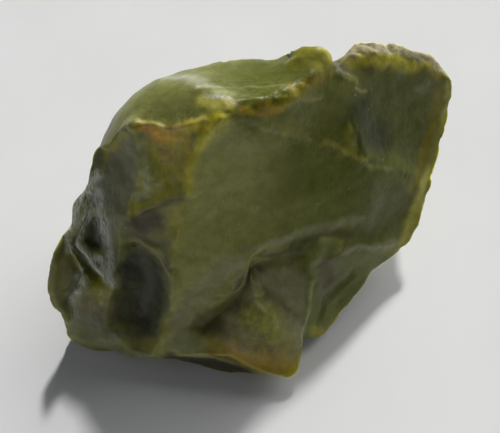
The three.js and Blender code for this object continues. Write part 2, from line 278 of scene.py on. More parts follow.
def stain(tone: Tone, strength: float, reach_mm: float, *line_mm: Triple, **shape: object) -> Stain:
    """Returns a stain along a line; shape is what else a stroke may be given."""
    return Stain(Stroke(line_mm, reach_mm, **shape), tone, strength)


def touch(strength: float, reach_mm: float, *line_mm: Triple, **shape: object) -> Touch:
    """Returns a stroke with its strength; shape is what else a stroke may be given."""
    return Stroke(line_mm, reach_mm, **shape), strength


def smooth(values: np.ndarray, start: float, stop: float) -> np.ndarray:
    """Returns a soft rise from 0 at start to 1 at stop, which may lie below start."""
    share = np.clip((values - start) / (stop - start), 0.0, 1.0)
    return share * share * (3.0 - 2.0 * share)


def unit(way: Triple) -> np.ndarray:
    """Returns a direction as an array of length 1."""
    return np.array(way) / np.linalg.norm(way)


# ---- Node helpers ----


class NodeBench:
    """Adds and joins the nodes of one shader tree.

    Where a method takes an object, it is an output socket, a number, or a tuple of numbers.
    """

    def __init__(self, tree: bpy.types.NodeTree) -> None:
        """Keeps the node tree of a material, a world or a group."""
        self.tree = tree

    def node(self, kind: str, **settings: object) -> bpy.types.Node:
        """Adds one node.

        Args:
            kind: Blender's type name of the node.
            **settings: Properties to set on it.

        Returns:
            The node.
        """
        made = self.tree.nodes.new(kind)
        for name, value in settings.items():
            setattr(made, name, value)
        return made

    def fill(self, node: bpy.types.Node, sources: dict[str | int, object]) -> bpy.types.Node:
        """Joins a socket to each input of a node, or sets a plain value on it.

        Args:
            node: The node.
            sources: What each input takes, under the input's name or number.

        Returns:
            The node.
        """
        for name, source in sources.items():
            socket = node.inputs[name]
            if isinstance(source, Socket):
                self.tree.links.new(source, socket)
            elif socket.type == "RGBA" and len(source) == 3:
                socket.default_value = (*source, 1.0)
            else:
                socket.default_value = source
        return node

    def layer(self, layer: Layer, part: str = "Fac") -> Socket:
        """Reads one of the layers that the mesh carries."""
        return self.node("ShaderNodeAttribute", attribute_name=layer.value).outputs[part]

    def maths(self, operation: str, first: object, second: object, clamp: bool = False) -> Socket:
        """Adds a Math node, whose result may be held between 0 and 1."""
        made = self.node("ShaderNodeMath", operation=operation, use_clamp=clamp)
        return self.fill(made, {0: first, 1: second}).outputs[0]

    def times(self, first: object, second: object) -> Socket:
        """Multiplies two numbers."""
        return self.maths("MULTIPLY", first, second)

    def plus(self, first: object, second: object) -> Socket:
        """Adds two numbers."""
        return self.maths("ADD", first, second)

    def vector(self, operation: str, first: object, second: object, part: str = "Vector") -> Socket:
        """Adds a Vector Math node, and returns its Vector or its Value."""
        made = self.node("ShaderNodeVectorMath", operation=operation)
        return self.fill(made, {0: first, 1: second}).outputs[part]

    def ramp(self, value: object, start: object, stop: object) -> Socket:
        """Adds a smooth rise from 0 at start to 1 at stop, which may lie below start."""
        made = self.node("ShaderNodeMapRange", interpolation_type="SMOOTHSTEP")
        return self.fill(made, {"Value": value, "From Min": start, "From Max": stop}).outputs["Result"]

    def mix(self, amount: object, plain: object, mixed: object, blend: str = "MIX") -> Socket:
        """Mixes one colour into another, or blends them another way.

        Args:
            amount: How much of the second colour shows.
            plain: The first colour.
            mixed: The second colour.
            blend: The blend mode.

        Returns:
            The mixed colour.
        """
        first_colour, second_colour, result = 6, 7, 2
        made = self.node("ShaderNodeMix", data_type="RGBA", blend_type=blend)
        self.fill(made, {"Factor": amount, first_colour: plain, second_colour: mixed})
        return made.outputs[result]

    def shade(self, colour: object, share: object, ends: Span) -> Socket:
        """Multiplies a colour by a shade that runs from one end to the other as the share rises."""
        return self.mix(1.0, colour, self.mix(share, *ends), blend="MULTIPLY")

    def noise(self, at: object, size_mm: float, detail: float = 3.0, rough: float = 0.5) -> Socket:
        """Adds a Noise Texture.

        Args:
            at: The place, in millimetres.
            size_mm: About how wide its grains are.
            detail: The number of finer layers.
            rough: How strong the finer layers are.

        Returns:
            The noise, from 0 to 1.
        """
        made = self.node("ShaderNodeTexNoise", noise_dimensions="3D")
        self.fill(made, {"Vector": at, "Scale": 1.0 / size_mm, "Detail": detail, "Roughness": rough})
        return made.outputs[0]

    def group(self, tree: bpy.types.NodeTree, **sources: object) -> Socket:
        """Adds a node of a group, feeds it, and returns its Value."""
        return self.fill(self.node("ShaderNodeGroup", node_tree=tree), sources).outputs["Value"]

    def principled(self, sources: dict[str, object], **settings: object) -> None:
        """Adds the material's only shader and joins it to the output.

        Args:
            sources: What each input of the shader takes.
            **settings: Properties to set on it.
        """
        shader = self.fill(self.node("ShaderNodeBsdfPrincipled", **settings), sources)
        self.fill(self.node("ShaderNodeOutputMaterial"), {"Surface": shader.outputs["BSDF"]})


def new_group(
    name: str, vectors: tuple[str, ...], numbers: tuple[str, ...]
) -> tuple[bpy.types.NodeTree, NodeBench, bpy.types.NodeOutputs]:
    """Starts a shader node group that puts out one Value.

    Args:
        name: The group's name.
        vectors: The names of the vectors that it takes.
        numbers: The names of the numbers that it takes.

    Returns:
        The group, a bench for its nodes, and what it is given.
    """
    group = bpy.data.node_groups.new(name, "ShaderNodeTree")
    for sockets, kind in ((vectors, "NodeSocketVector"), (numbers, "NodeSocketFloat")):
        for socket in sockets:
            group.interface.new_socket(socket, in_out="INPUT", socket_type=kind)
    group.interface.new_socket("Value", in_out="OUTPUT", socket_type="NodeSocketFloat")
    bench = NodeBench(group)
    return group, bench, bench.node("NodeGroupInput").outputs


def new_material(name: str) -> tuple[bpy.types.Material, NodeBench, Socket]:
    """Starts a material.

    Args:
        name: The material's name.

    Returns:
        The material, a bench for its nodes, and the place in millimetres.
    """
    made = bpy.data.materials.new(name)
    made.use_nodes = True
    made.node_tree.nodes.clear()
    bench = NodeBench(made.node_tree)
    place = bench.node("ShaderNodeTexCoord").outputs["Object"]
    return made, bench, bench.vector("MULTIPLY", place, (1.0 / MM,) * 3)


def add_object(name: str, data: bpy.types.ID) -> bpy.types.Object:
    """Makes an object and puts it into the scene.

    Args:
        name: The object's name.
        data: Its mesh, light or camera.

    Returns:
        The object.
    """
    made = bpy.data.objects.new(name, data)
    bpy.context.scene.collection.objects.link(made)
    return made


def add_mesh(name: str, bm: bmesh.types.BMesh) -> bpy.types.Object:
    """Makes an object of a finished bmesh, which is freed.

    Args:
        name: The object's name.
        bm: The bmesh.

    Returns:
        The object.
    """
    mesh = bpy.data.meshes.new(name)
    bm.to_mesh(mesh)
    bm.free()
    return add_object(name, mesh)


# ---- The finish ----


def hair_group() -> bpy.types.NodeTree:
    """Builds the group that draws fine hairs, all running one way.

    Returns:
        The group: Place, Along, Width and Stretch in, Value out.
    """
    group, bench, given = new_group("hairs", vectors=("Place", "Along"), numbers=("Width", "Stretch"))
    forward = bench.vector("DOT_PRODUCT", given["Place"], given["Along"], part="Value")
    lengthwise = bench.vector("MULTIPLY", given["Along"], bench.times(forward, given["Stretch"]))
    squeezed = bench.vector("SUBTRACT", given["Place"], lengthwise)
    hairs = bench.noise(bench.vector("DIVIDE", squeezed, given["Width"]), size_mm=1.0, rough=0.6)
    bench.fill(bench.node("NodeGroupOutput"), {"Value": hairs})
    return group


def fleck_group() -> bpy.types.NodeTree:
    """Builds the group that scatters small round flecks, with room between them.

    Returns:
        The group: Place, Room and Size in, Value out.
    """
    group, bench, given = new_group("flecks", vectors=("Place",), numbers=("Room", "Size"))
    cells = bench.node("ShaderNodeTexVoronoi", feature="F1")
    bench.fill(cells, {"Vector": bench.vector("DIVIDE", given["Place"], given["Room"]), "Scale": 1.0})
    reach = bench.maths("DIVIDE", given["Size"], given["Room"])
    dots = bench.ramp(cells.outputs["Distance"], reach, 0.0)
    kept = bench.ramp(cells.outputs["Color"], 0.55, 0.75)
    bench.fill(bench.node("NodeGroupOutput"), {"Value": bench.times(dots, kept)})
    return group


@dataclass(frozen=True)
class OpalInputs:
    """What the opal's finish reads at each point.

    Attributes:
        place_mm: The place, in millimetres.
        hairs: The fine hairs.
        frost: How frosted the surface is, and how strongly sheen and glints are painted on it.
        rind: How much of it is rind.
        wear: How pitted and clouded it is.
    """

    place_mm: Socket
    hairs: Socket
    frost: Socket
    rind: Socket
    wear: Socket


@dataclass(frozen=True)
class OpalFinish:
    """Waxy, translucent green opal.

    Attributes:
        scatter_mm: How far red, green and blue light travel inside.
        refraction: How strongly it bends light.
        gloss_level: How much the polish reflects.
        gloss_roughness: How rough the polish is in the middle of its range.
        gloss_smear: How far that roughness ranges.
        hair_way: The way that its fine hairs run.
        comb_way: The way that they run where they are combed across.
        hair_width_mm: How wide a hair is.
        hair_stretch: How far it is drawn out, from 0 to 1.
        fleck_room_mm: How far apart its pale flecks lie.
        fleck_mm: How far a fleck reaches from its middle.
        mottle: Its darkest and lightest shades, from its uneven body.
        fibre: The same, from its fine hairs.
        cloud: The same, where it is worn.
        wax_mm: How deep the fine unevenness of its breaks is.
        wax_strength: How much of that unevenness shows.
    """

    scatter_mm: Triple = (0.9, 0.9, 0.3)
    refraction: float = 1.45
    gloss_level: float = 0.2
    gloss_roughness: float = 0.38
    gloss_smear: float = 0.22
    hair_way: Triple = (0.05, -0.62, -0.78)
    comb_way: Triple = (0.62, -0.65, -0.44)
    hair_width_mm: float = 0.30
    hair_stretch: float = 0.88
    fleck_room_mm: float = 2.4
    fleck_mm: float = 0.28
    mottle: Span = ((0.86, 0.86, 0.80), (1.12, 1.12, 1.20))
    fibre: Span = ((0.97, 0.97, 0.96), (1.03, 1.03, 1.05))
    cloud: Span = ((0.66, 0.68, 0.60), (1.38, 1.35, 1.30))
    wax_mm: float = 0.12
    wax_strength: float = 0.35

    def material(self) -> bpy.types.Material:
        """Builds the material.

        Returns:
            The material, which reads Object coordinates and the stone's own layers.
        """
        made, bench, place_mm = new_material("green opal")
        layers = [bench.layer(layer) for layer in (Layer.FROST, Layer.RIND, Layer.WEAR)]
        at = OpalInputs(place_mm, self._hairs(bench, place_mm), *layers)
        bench.principled(
            {
                "Subsurface Weight": 1.0,
                "Subsurface Radius": self.scatter_mm,
                "Subsurface Scale": MM,
                "IOR": self.refraction,
                "Specular IOR Level": self.gloss_level,
                "Base Color": self._colour(bench, at),
                "Roughness": self._roughness(bench, at),
                "Normal": self._relief(bench, at),
            },
            subsurface_method="RANDOM_WALK",
        )
        return made

    def _hairs(self, bench: NodeBench, place_mm: Socket) -> Socket:
        """Draws the fine hairs, which run down the breaks, or across where they are combed.

        Args:
            bench: Where the nodes are made.
            place_mm: The place, in millimetres.

        Returns:
            The hairs, from 0 to 1.
        """
        tree = hair_group()
        size = {"Width": self.hair_width_mm, "Stretch": self.hair_stretch}
        ways = (Vector(way).normalized() for way in (self.hair_way, self.comb_way))
        down, across = (bench.group(tree, Place=place_mm, Along=way, **size) for way in ways)
        return bench.mix(bench.layer(Layer.COMB), down, across)

    def _colour(self, bench: NodeBench, at: OpalInputs) -> Socket:
        """Mottles the painted tint, and lays flecks and painted glints, clouds, frosting and painted sheen,
        and rind over it.

        Args:
            bench: Where the nodes are made.
            at: What the finish reads.

        Returns:
            The colour.
        """
        pale, tan = Tone.FROST.value, Tone.TAN.value
        mottle = bench.noise(at.place_mm, size_mm=2.0, detail=5.0, rough=0.65)
        colour = bench.shade(bench.layer(Layer.TINT, "Color"), bench.ramp(mottle, 0.30, 0.70), self.mottle)
        colour = bench.shade(colour, bench.ramp(at.hairs, 0.30, 0.70), self.fibre)
        colour = bench.mix(self._pale_share(bench, at), colour, pale)
        cloud = bench.noise(at.place_mm, size_mm=1.1, detail=4.0, rough=0.7)
        colour = bench.mix(at.wear, colour, bench.shade(colour, bench.ramp(cloud, 0.32, 0.68), self.cloud))
        # Pale hairs where the breaks are frosted, with the sheen of the left-hand V and the crest's glints
        # painted in.
        colour = bench.mix(bench.times(at.frost, bench.ramp(at.hairs, 0.30, 0.58)), colour, pale)
        grit = bench.noise(at.place_mm, size_mm=0.7, detail=5.0, rough=0.7)
        crumb = bench.mix(bench.ramp(grit, 0.35, 0.65), tuple(0.6 * c for c in tan), tan)
        return bench.mix(at.rind, colour, crumb)

    def _pale_share(self, bench: NodeBench, at: OpalInputs) -> Socket:
        """Finds where pale flecks and scratches lie; the flecks are partly specks and partly painted glints,
        more of them where the surface is worn.

        Args:
            bench: Where the nodes are made.
            at: What the finish reads.

        Returns:
            How pale the surface is, from 0 to 1.
        """
        sizes = {"Room": self.fleck_room_mm, "Size": self.fleck_mm}
        flecks = bench.group(fleck_group(), Place=at.place_mm, **sizes)
        fleck_strength = bench.plus(bench.times(at.wear, 0.35), 0.35)
        scratches = bench.times(bench.ramp(at.hairs, 0.62, 0.74), 0.09)
        return bench.plus(bench.times(flecks, fleck_strength), scratches)

    def _roughness(self, bench: NodeBench, at: OpalInputs) -> Socket:
        """Makes the gloss waxy on the breaks, glinting in pits, and dull on frosted places and rind.

        Args:
            bench: Where the nodes are made.
            at: What the finish reads.

        Returns:
            How rough the gloss is.
        """
        smear = bench.noise(at.place_mm, size_mm=1.6, detail=4.0, rough=0.6)
        waxy = bench.plus(bench.times(smear, self.gloss_smear), self.gloss_roughness - self.gloss_smear / 2)
        dull = bench.times(bench.plus(at.rind, bench.times(at.frost, 0.3)), 0.4)
        return bench.maths("SUBTRACT", bench.plus(waxy, dull), bench.times(at.wear, 0.12), clamp=True)

    def _relief(self, bench: NodeBench, at: OpalInputs) -> Socket:
        """Bumps the surface: fine waxy unevenness, hairs, pits, and grit on the rind.

        Args:
            bench: Where the nodes are made.
            at: What the finish reads.

        Returns:
            The bumped normal.
        """
        height = bench.noise(at.place_mm, size_mm=0.9, detail=4.0, rough=0.55)
        height = bench.plus(height, bench.times(at.hairs, bench.plus(bench.times(at.frost, 1.2), 0.12)))
        grit = bench.noise(at.place_mm, size_mm=0.45, detail=3.0, rough=0.7)
        height = bench.plus(height, bench.times(grit, bench.times(at.rind, 2.0)))
        pits = bench.noise(at.place_mm, size_mm=0.45, detail=2.0, rough=0.6)
        height = bench.plus(height, bench.times(pits, bench.plus(bench.times(at.wear, 2.2), 0.35)))
        bump = {"Height": height, "Strength": self.wax_strength, "Distance": self.wax_mm * MM}
        return bench.fill(bench.node("ShaderNodeBump"), bump).outputs["Normal"]


# ---- The stone ----


@dataclass
class RoughOpal:
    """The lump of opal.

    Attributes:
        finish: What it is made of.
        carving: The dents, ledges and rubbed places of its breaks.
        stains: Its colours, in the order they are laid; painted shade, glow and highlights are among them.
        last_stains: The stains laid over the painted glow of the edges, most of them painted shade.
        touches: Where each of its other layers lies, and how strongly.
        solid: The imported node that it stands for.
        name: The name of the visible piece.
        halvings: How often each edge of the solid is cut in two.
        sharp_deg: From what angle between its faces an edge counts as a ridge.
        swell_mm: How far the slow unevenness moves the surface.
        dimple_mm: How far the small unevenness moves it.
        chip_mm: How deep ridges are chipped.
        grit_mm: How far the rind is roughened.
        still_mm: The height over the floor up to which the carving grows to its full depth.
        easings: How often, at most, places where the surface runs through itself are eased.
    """

    finish: OpalFinish
    carving: tuple[Dent | Ledge | Rub, ...]
    stains: tuple[Stain, ...]
    last_stains: tuple[Stain, ...]
    touches: dict[Layer, tuple[Touch, ...]]
    solid: str = "green_opal"
    name: str = "opal_lump"
    halvings: int = 2
    sharp_deg: float = 24.0
    swell_mm: float = 0.22
    dimple_mm: float = 0.08
    chip_mm: float = 0.32
    grit_mm: float = 0.18
    still_mm: float = 1.5
    easings: int = 6

    def build(self) -> bpy.types.Object:
        """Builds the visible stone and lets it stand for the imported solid.

        Returns:
            The piece.
        """
        piece = self._divided_copy()
        self._carve(piece.data)
        self._ease(piece.data)
        self._paint(piece.data)
        piece.data.materials.append(self.finish.material())
        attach(piece, "root")
        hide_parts(self.solid)
        return piece

    def _divided_copy(self) -> bpy.types.Object:
        """Copies the solid, merges it, and divides it finely with its ridges kept.

        Returns:
            The copy.
        """
        merge_mm = 0.002
        bm = bmesh.new()
        bm.from_mesh(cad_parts[self.solid].data)
        bmesh.ops.remove_doubles(bm, verts=bm.verts[:], dist=merge_mm * MM)
        for _ in range(self.halvings):
            bmesh.ops.subdivide_edges(bm, edges=bm.edges[:], cuts=1, use_grid_fill=True)
            self._soften(bm)
        bmesh.ops.recalc_face_normals(bm, faces=bm.faces[:])
        piece = add_mesh(self.name, bm)
        piece.data.shade_smooth()
        return piece

    def _soften(self, bm: bmesh.types.BMesh) -> None:
        """Smooths the breaks between ridges, and evens each ridge along its own line.

        Args:
            bm: The stone's mesh, which is changed.
        """
        passes, share, floor_mm = 3, 0.5, 0.02
        limit = math.radians(self.sharp_deg)
        mates: dict[bmesh.types.BMVert, list[bmesh.types.BMVert]] = {}
        for edge in bm.edges:
            if edge.is_manifold and edge.calc_face_angle(0.0) > limit:
                first, second = edge.verts
                mates.setdefault(first, []).append(second)
                mates.setdefault(second, []).append(first)
        lifted = [vert for vert in bm.verts if vert.co.z > floor_mm * MM]
        free = [vert for vert in lifted if vert not in mates]
        axes = {"use_axis_x": True, "use_axis_y": True, "use_axis_z": True}
        for _ in range(passes):
            bmesh.ops.smooth_vert(bm, verts=free, factor=share, **axes)
        evened = {}
        for vert, (first, second) in ((v, mates[v]) for v in lifted if len(mates.get(v, ())) == 2):
            evened[vert] = vert.co.lerp((first.co + second.co) / 2, share)
        for vert, place in evened.items():
            vert.co = place

    def _carve(self, mesh: Mesh) -> None:
        """Moves the surface: slow swells, dimples, chipped ridges, rind, and the listed carving.

        Args:
            mesh: The stone's mesh, which is changed.
        """
        chip_from, chip_gain = 0.05, 1.6
        surface = Surface.of(mesh)
        proud = stands_proud(mesh, surface, passes=16)
        push = self.swell_mm * surface.noise(grain_mm=9.0, octaves=2)
        push += self.dimple_mm * surface.noise(grain_mm=2.6, shift=7.0)
        bites = np.maximum(surface.noise(grain_mm=1.9, octaves=1, shift=3.0) - chip_from, 0.0)
        push -= chip_gain * self.chip_mm * bites * smooth(proud, start=0.06, stop=0.31)
        push += self.grit_mm * self._mask(Layer.RIND, surface) * surface.noise(grain_mm=0.9, shift=5.0)
        for cut in self.carving:
            if isinstance(cut, Rub):
                rubbed = spread(mesh, surface.places, cut.passes)
                surface.places += cut.where.mask(surface)[:, None] * (rubbed - surface.places)
            else:
                push += cut.push(surface)
        resting = np.clip(surface.places[:, 2] / self.still_mm, 0.0, 1.0)
        places = surface.places + surface.normals * (push * resting)[:, None]
        places[:, 2] = np.maximum(places[:, 2], 0.0)
        write_points(mesh, places)

    def _ease(self, mesh: Mesh) -> None:
        """Smooths the few places where the surface runs through itself, until none is left.

        Args:
            mesh: The stone's mesh, which is changed.
        """
        gain, widening, smoothing = 4.0, 3, 2
        faces = read_triangles(mesh)
        places = read_points(mesh)
        for _ in range(self.easings):
            tree = BVHTree.FromPolygons(places.tolist(), faces.tolist(), all_triangles=True)
            crossing = tree.overlap(tree)
            LOG.info("easing: %d pairs of faces cross", len(crossing))
            if not crossing:
                break
            touched = np.zeros(len(places))
            touched[faces[np.array(crossing).ravel()].ravel()] = 1.0
            near = np.clip(gain * spread(mesh, touched, widening), 0.0, 1.0)
            places += near[:, None] * (spread(mesh, places, smoothing) - places)
        write_points(mesh, places)

    def _mask(self, layer: Layer, surface: Surface) -> np.ndarray:
        """Returns, from 0 to 1, how strongly each point carries a layer."""
        return np.max([strength * stroke.mask(surface) for stroke, strength in self.touches[layer]], axis=0)

    def _paint(self, mesh: Mesh) -> None:
        """Colours the carved stone: its body, the stains, the painted glow of thin edges and ridges, and the
        last stains.

        Args:
            mesh: The stone's mesh, which gets one attribute for each layer.
        """
        surface = Surface.of(mesh)
        body = smooth(surface.noise(grain_mm=14.0, octaves=2, shift=2.0), start=-0.4, stop=0.4)
        tint = np.tile(Tone.DEEP.value, (len(surface.places), 1))
        tint = stained(lay(tint, Tone.DULL, body), self.stains, surface)
        thin, proud = thinness(mesh, surface), stands_proud(mesh, surface, passes=20)
        # Painted glow: thin edges and proud ridges are made lighter, olive and ochre, standing for light that
        # passes through the thin stone.
        for tone, strength, measure, start, stop in (
            (Tone.OLIVE, 0.35, thin, 0.30, 0.60),
            (Tone.OCHRE, 0.25, thin, 0.55, 0.85),
            (Tone.OLIVE, 0.12, proud, 0.08, 0.40),
        ):
            tint = lay(tint, tone, strength * smooth(measure, start, stop))
        keep_layer(mesh, Layer.TINT, stained(tint, self.last_stains, surface))
        for layer in self.touches:
            keep_layer(mesh, layer, self._mask(layer, surface))


def lay(tint: np.ndarray, tone: Tone, amount: np.ndarray) -> np.ndarray:
    """Lays a tone over a tint, as thickly as the amount at each point says."""
    return tint + amount[:, None] * (np.array(tone.value) - tint)


def stained(tint: np.ndarray, stains: tuple[Stain, ...], surface: Surface) -> np.ndarray:
    """Lays stains over a tint, one after another.

    Args:
        tint: One row of red, green and blue for each point.
        stains: The stains.
        surface: The stone's points.

    Returns:
        The new tint.
    """
    for each in stains:
        tint = lay(tint, each.tone, each.strength * each.where.mask(surface))
    return tint


def read_rows(items: bpy.types.bpy_prop_collection, what: str, kind: type = float) -> np.ndarray:
    """Reads three numbers from each item of a mesh.

    Args:
        items: The mesh's points, normals or triangles.
        what: Blender's name for the numbers.
        kind: The kind of numbers they are.

    Returns:
        One row for each item.
    """
    flat = np.empty(len(items) * 3, dtype=kind)
    items.foreach_get(what, flat)
    return flat.reshape(-1, 3)


def read_points(mesh: Mesh) -> np.ndarray:
    """Returns the mesh's points, in millimetres."""
    return read_rows(mesh.vertices, "co") / MM


def read_triangles(mesh: Mesh) -> np.ndarray:
    """Returns the numbers of each triangle's points."""
    return read_rows(mesh.loop_triangles, "vertices", np.int32)


def write_points(mesh: Mesh, places: np.ndarray) -> None:
    """Puts the mesh's points at the given places, in millimetres."""
    mesh.vertices.foreach_set("co", (places * MM).ravel())
    mesh.update()


def keep_layer(mesh: Mesh, layer: Layer, values: np.ndarray) -> None:
    """Stores a number or a colour for each point under the layer's name.

    Args:
        mesh: The mesh that keeps them.
        layer: The layer.
        values: One number for each point, or one row of red, green and blue.
    """
    if values.ndim == 1:
        kept = mesh.attributes.new(layer.value, "FLOAT", "POINT")
        kept.data.foreach_set("value", values.astype(np.float32))
        return
    kept = mesh.attributes.new(layer.value, "FLOAT_COLOR", "POINT")
    opaque = np.hstack([values, np.ones((len(values), 1))])
    kept.data.foreach_set("color", opaque.astype(np.float32).ravel())


def spread(mesh: Mesh, values: np.ndarray, passes: int) -> np.ndarray:
    """Blurs values over the surface.

    Args:
        mesh: The mesh whose edges say which points are neighbours.
        values: One row for each point.
        passes: How many times each point takes the mean of its neighbours.

    Returns:
        The blurred values.
    """
    ends = np.empty(len(mesh.edges) * 2, dtype=np.int64)
    mesh.edges.foreach_get("vertices", ends)
    first, second = ends.reshape(-1, 2).T
    count = np.bincount(ends, minlength=len(mesh.vertices))
    blurred = values.reshape(len(mesh.vertices), -1).astype(float)
    for _ in range(passes):
        columns = [
            np.bincount(first, column[second], len(count)) + np.bincount(second, column[first], len(count))
            for column in blurred.T
        ]
        blurred = np.stack(columns, axis=1) / count[:, None]
    return blurred.reshape(values.shape)


def stands_proud(mesh: Mesh, surface: Surface, passes: int) -> np.ndarray:
    """Measures how far each point stands out from the blurred surface.

    Args:
        mesh: The mesh.
        surface: Its points.
        passes: How far the blur reaches.

    Returns:
        Millimetres, above zero on ridges and below zero in hollows.
    """
    return ((surface.places - spread(mesh, surface.places, passes)) * surface.normals).sum(axis=1)


def thinness(mesh: Mesh, surface: Surface) -> np.ndarray:
    """Measures how thin the stone is behind each point, along five rays that lean apart.

    Args:
        mesh: The mesh.
        surface: Its points.

    Returns:
        From 0, where the stone is thick, to 1, where it is a feather edge.
    """
    fade_mm, lean, skin_mm, open_mm, blur = 5.0, 0.7, 0.05, 60.0, 6
    tree = BVHTree.FromPolygons(surface.places.tolist(), read_triangles(mesh).tolist(), all_triangles=True)
    result = np.zeros(len(surface.places))
    for index, (place, normal) in enumerate(zip(surface.places, surface.normals)):
        inward = -Vector(normal)
        side = inward.orthogonal().normalized()
        other = inward.cross(side)
        start = Vector(place) + inward * skin_mm
        rays = (side * 0.0, side, -side, other, -other)
        total = 0.0
        for aside in rays:
            depth = tree.ray_cast(start, (inward + aside * lean).normalized())[3]
            total += math.exp(-(open_mm if depth is None else depth) / fade_mm)
        result[index] = total / len(rays)
    return spread(mesh, result, blur)


# ---- The studio ----


@dataclass(frozen=True)
class FloorFinish:
    """Plain, pale, faintly uneven painted board."""

    colour: Triple = (0.80, 0.805, 0.82)
    darker: float = 0.97
    cloud_mm: float = 30.0
    roughness: float = 0.7
    gloss_level: float = 0.2

    def material(self) -> bpy.types.Material:
        """Builds the material.

        Returns:
            The material.
        """
        made, bench, place_mm = new_material("pale floor")
        cloud = bench.noise(place_mm, self.cloud_mm, detail=4.0)
        dark = tuple(self.darker * c for c in self.colour)
        bench.principled(
            {
                "Roughness": self.roughness,
                "Specular IOR Level": self.gloss_level,
                "Base Color": bench.mix(bench.ramp(cloud, 0.3, 0.7), dark, self.colour),
            }
        )
        return made


@dataclass(frozen=True)
class FarLight:
    """A far light behind the stone.

    Attributes:
        name: The light's name.
        strength: How bright it is.
        spread_deg: How wide it looks from the stone.
        height_deg: How high it stands over the floor.
        side_deg: How far to the right of straight behind the stone it stands.
        colour: Its colour.
    """

    name: str
    strength: float
    spread_deg: float
    height_deg: float
    side_deg: float
    colour: Triple = (1.0, 0.985, 0.96)

    def build(self) -> None:
        """Hangs the light."""
        light = bpy.data.lights.new(self.name, "SUN")
        light.energy = self.strength
        light.angle = math.radians(self.spread_deg)
        light.color = self.colour
        tilt, turn = math.radians(self.height_deg - 90.0), -math.radians(self.side_deg)
        add_object(self.name, light).rotation_euler = Euler((tilt, 0.0, turn), "XYZ")


@dataclass
class Studio:
    """Floor, light and camera.

    Attributes:
        floor_m: The width of the floor.
        far_lights: The main light, and the haze around it.
        sky_colour: The colour of the even light.
        sky_strength: How bright it is.
        dark_strength: How bright it is on its dark side.
        dark_side: The way to the middle of that side.
        fill_mm: Where the middle of the soft panel stands.
        fill_width_mm: How wide the panel is.
        fill_watts: How much light it gives.
        target_mm: The point that the camera and the panel face.
        camera_down_deg: How steeply the camera looks down.
        camera_away_mm: How far it stands from that point.
        lens_mm: The length of its lens.
        film_mm: The width of its film.
        near_m: How near it sees.
    """

    floor_m: float = 1.6
    far_lights: tuple[FarLight, ...] = (
        FarLight("main light", strength=2.45, spread_deg=4.0, height_deg=41.8, side_deg=12.1),
        FarLight("haze", strength=2.1, spread_deg=50.0, height_deg=24.0, side_deg=36.0),
    )
    sky_colour: Triple = (0.93, 0.97, 1.0)
    sky_strength: float = 0.12
    dark_strength: float = 0.04
    dark_side: Triple = (-0.2, -0.6, 0.75)
    fill_mm: Triple = (-230.0, -430.0, 60.0)
    fill_width_mm: float = 260.0
    fill_watts: float = 0.36
    target_mm: Triple = (-0.5, 0.75, 15.0)
    camera_down_deg: float = 66.0
    camera_away_mm: float = 100.0
    lens_mm: float = 40.3
    film_mm: float = 36.0
    near_m: float = 0.01

    def build(self) -> None:
        """Builds everything that isn't the stone."""
        self._floor()
        for light in self.far_lights:
            light.build()
        self._fill()
        self._sky()
        self._camera()

    def _floor(self) -> None:
        """Lays the floor under the stone."""
        bm = bmesh.new()
        bmesh.ops.create_grid(bm, x_segments=1, y_segments=1, size=self.floor_m / 2)
        floor = add_mesh("floor", bm)
        floor.data.materials.append(FloorFinish().material())

    def _fill(self) -> None:
        """Stands a low soft panel in front of the stone."""
        light = bpy.data.lights.new("front fill", "AREA")
        light.shape = "DISK"
        light.size = self.fill_width_mm * MM
        light.energy = self.fill_watts
        panel = add_object("front fill", light)
        panel.location = Vector(self.fill_mm) * MM
        facing = (Vector(self.target_mm) - Vector(self.fill_mm)).normalized()
        panel.rotation_euler = facing.to_track_quat("-Z", "Y").to_euler()

    def _sky(self) -> None:
        """Fills the room with even light, darker on one side."""
        world = bpy.data.worlds.new("even light")
        bpy.context.scene.world = world
        world.use_nodes = True
        bench = NodeBench(world.node_tree)
        way = bench.node("ShaderNodeTexCoord").outputs["Generated"]
        dark_side = Vector(self.dark_side).normalized()
        shade = bench.ramp(bench.vector("DOT_PRODUCT", way, dark_side, part="Value"), 0.35, 0.95)
        strength = bench.mix(shade, (self.sky_strength,) * 3, (self.dark_strength,) * 3)
        backdrop = world.node_tree.nodes["Background"]
        bench.fill(backdrop, {"Color": self.sky_colour, "Strength": strength})

    def _camera(self) -> None:
        """Sets the camera up."""
        down = math.radians(self.camera_down_deg)
        looking = Vector((0.0, math.cos(down), -math.sin(down)))
        data = bpy.data.cameras.new("camera")
        data.lens = self.lens_mm
        data.sensor_width = self.film_mm
        data.clip_start = self.near_m
        camera = add_object("camera", data)
        camera.location = Vector(self.target_mm) * MM - looking * (self.camera_away_mm * MM)
        camera.rotation_euler = (math.radians(90.0) - down, 0.0, 0.0)
        bpy.context.scene.camera = camera
        bpy.context.scene.view_settings.view_transform = "Standard"


# ---- Where the strokes lie ----

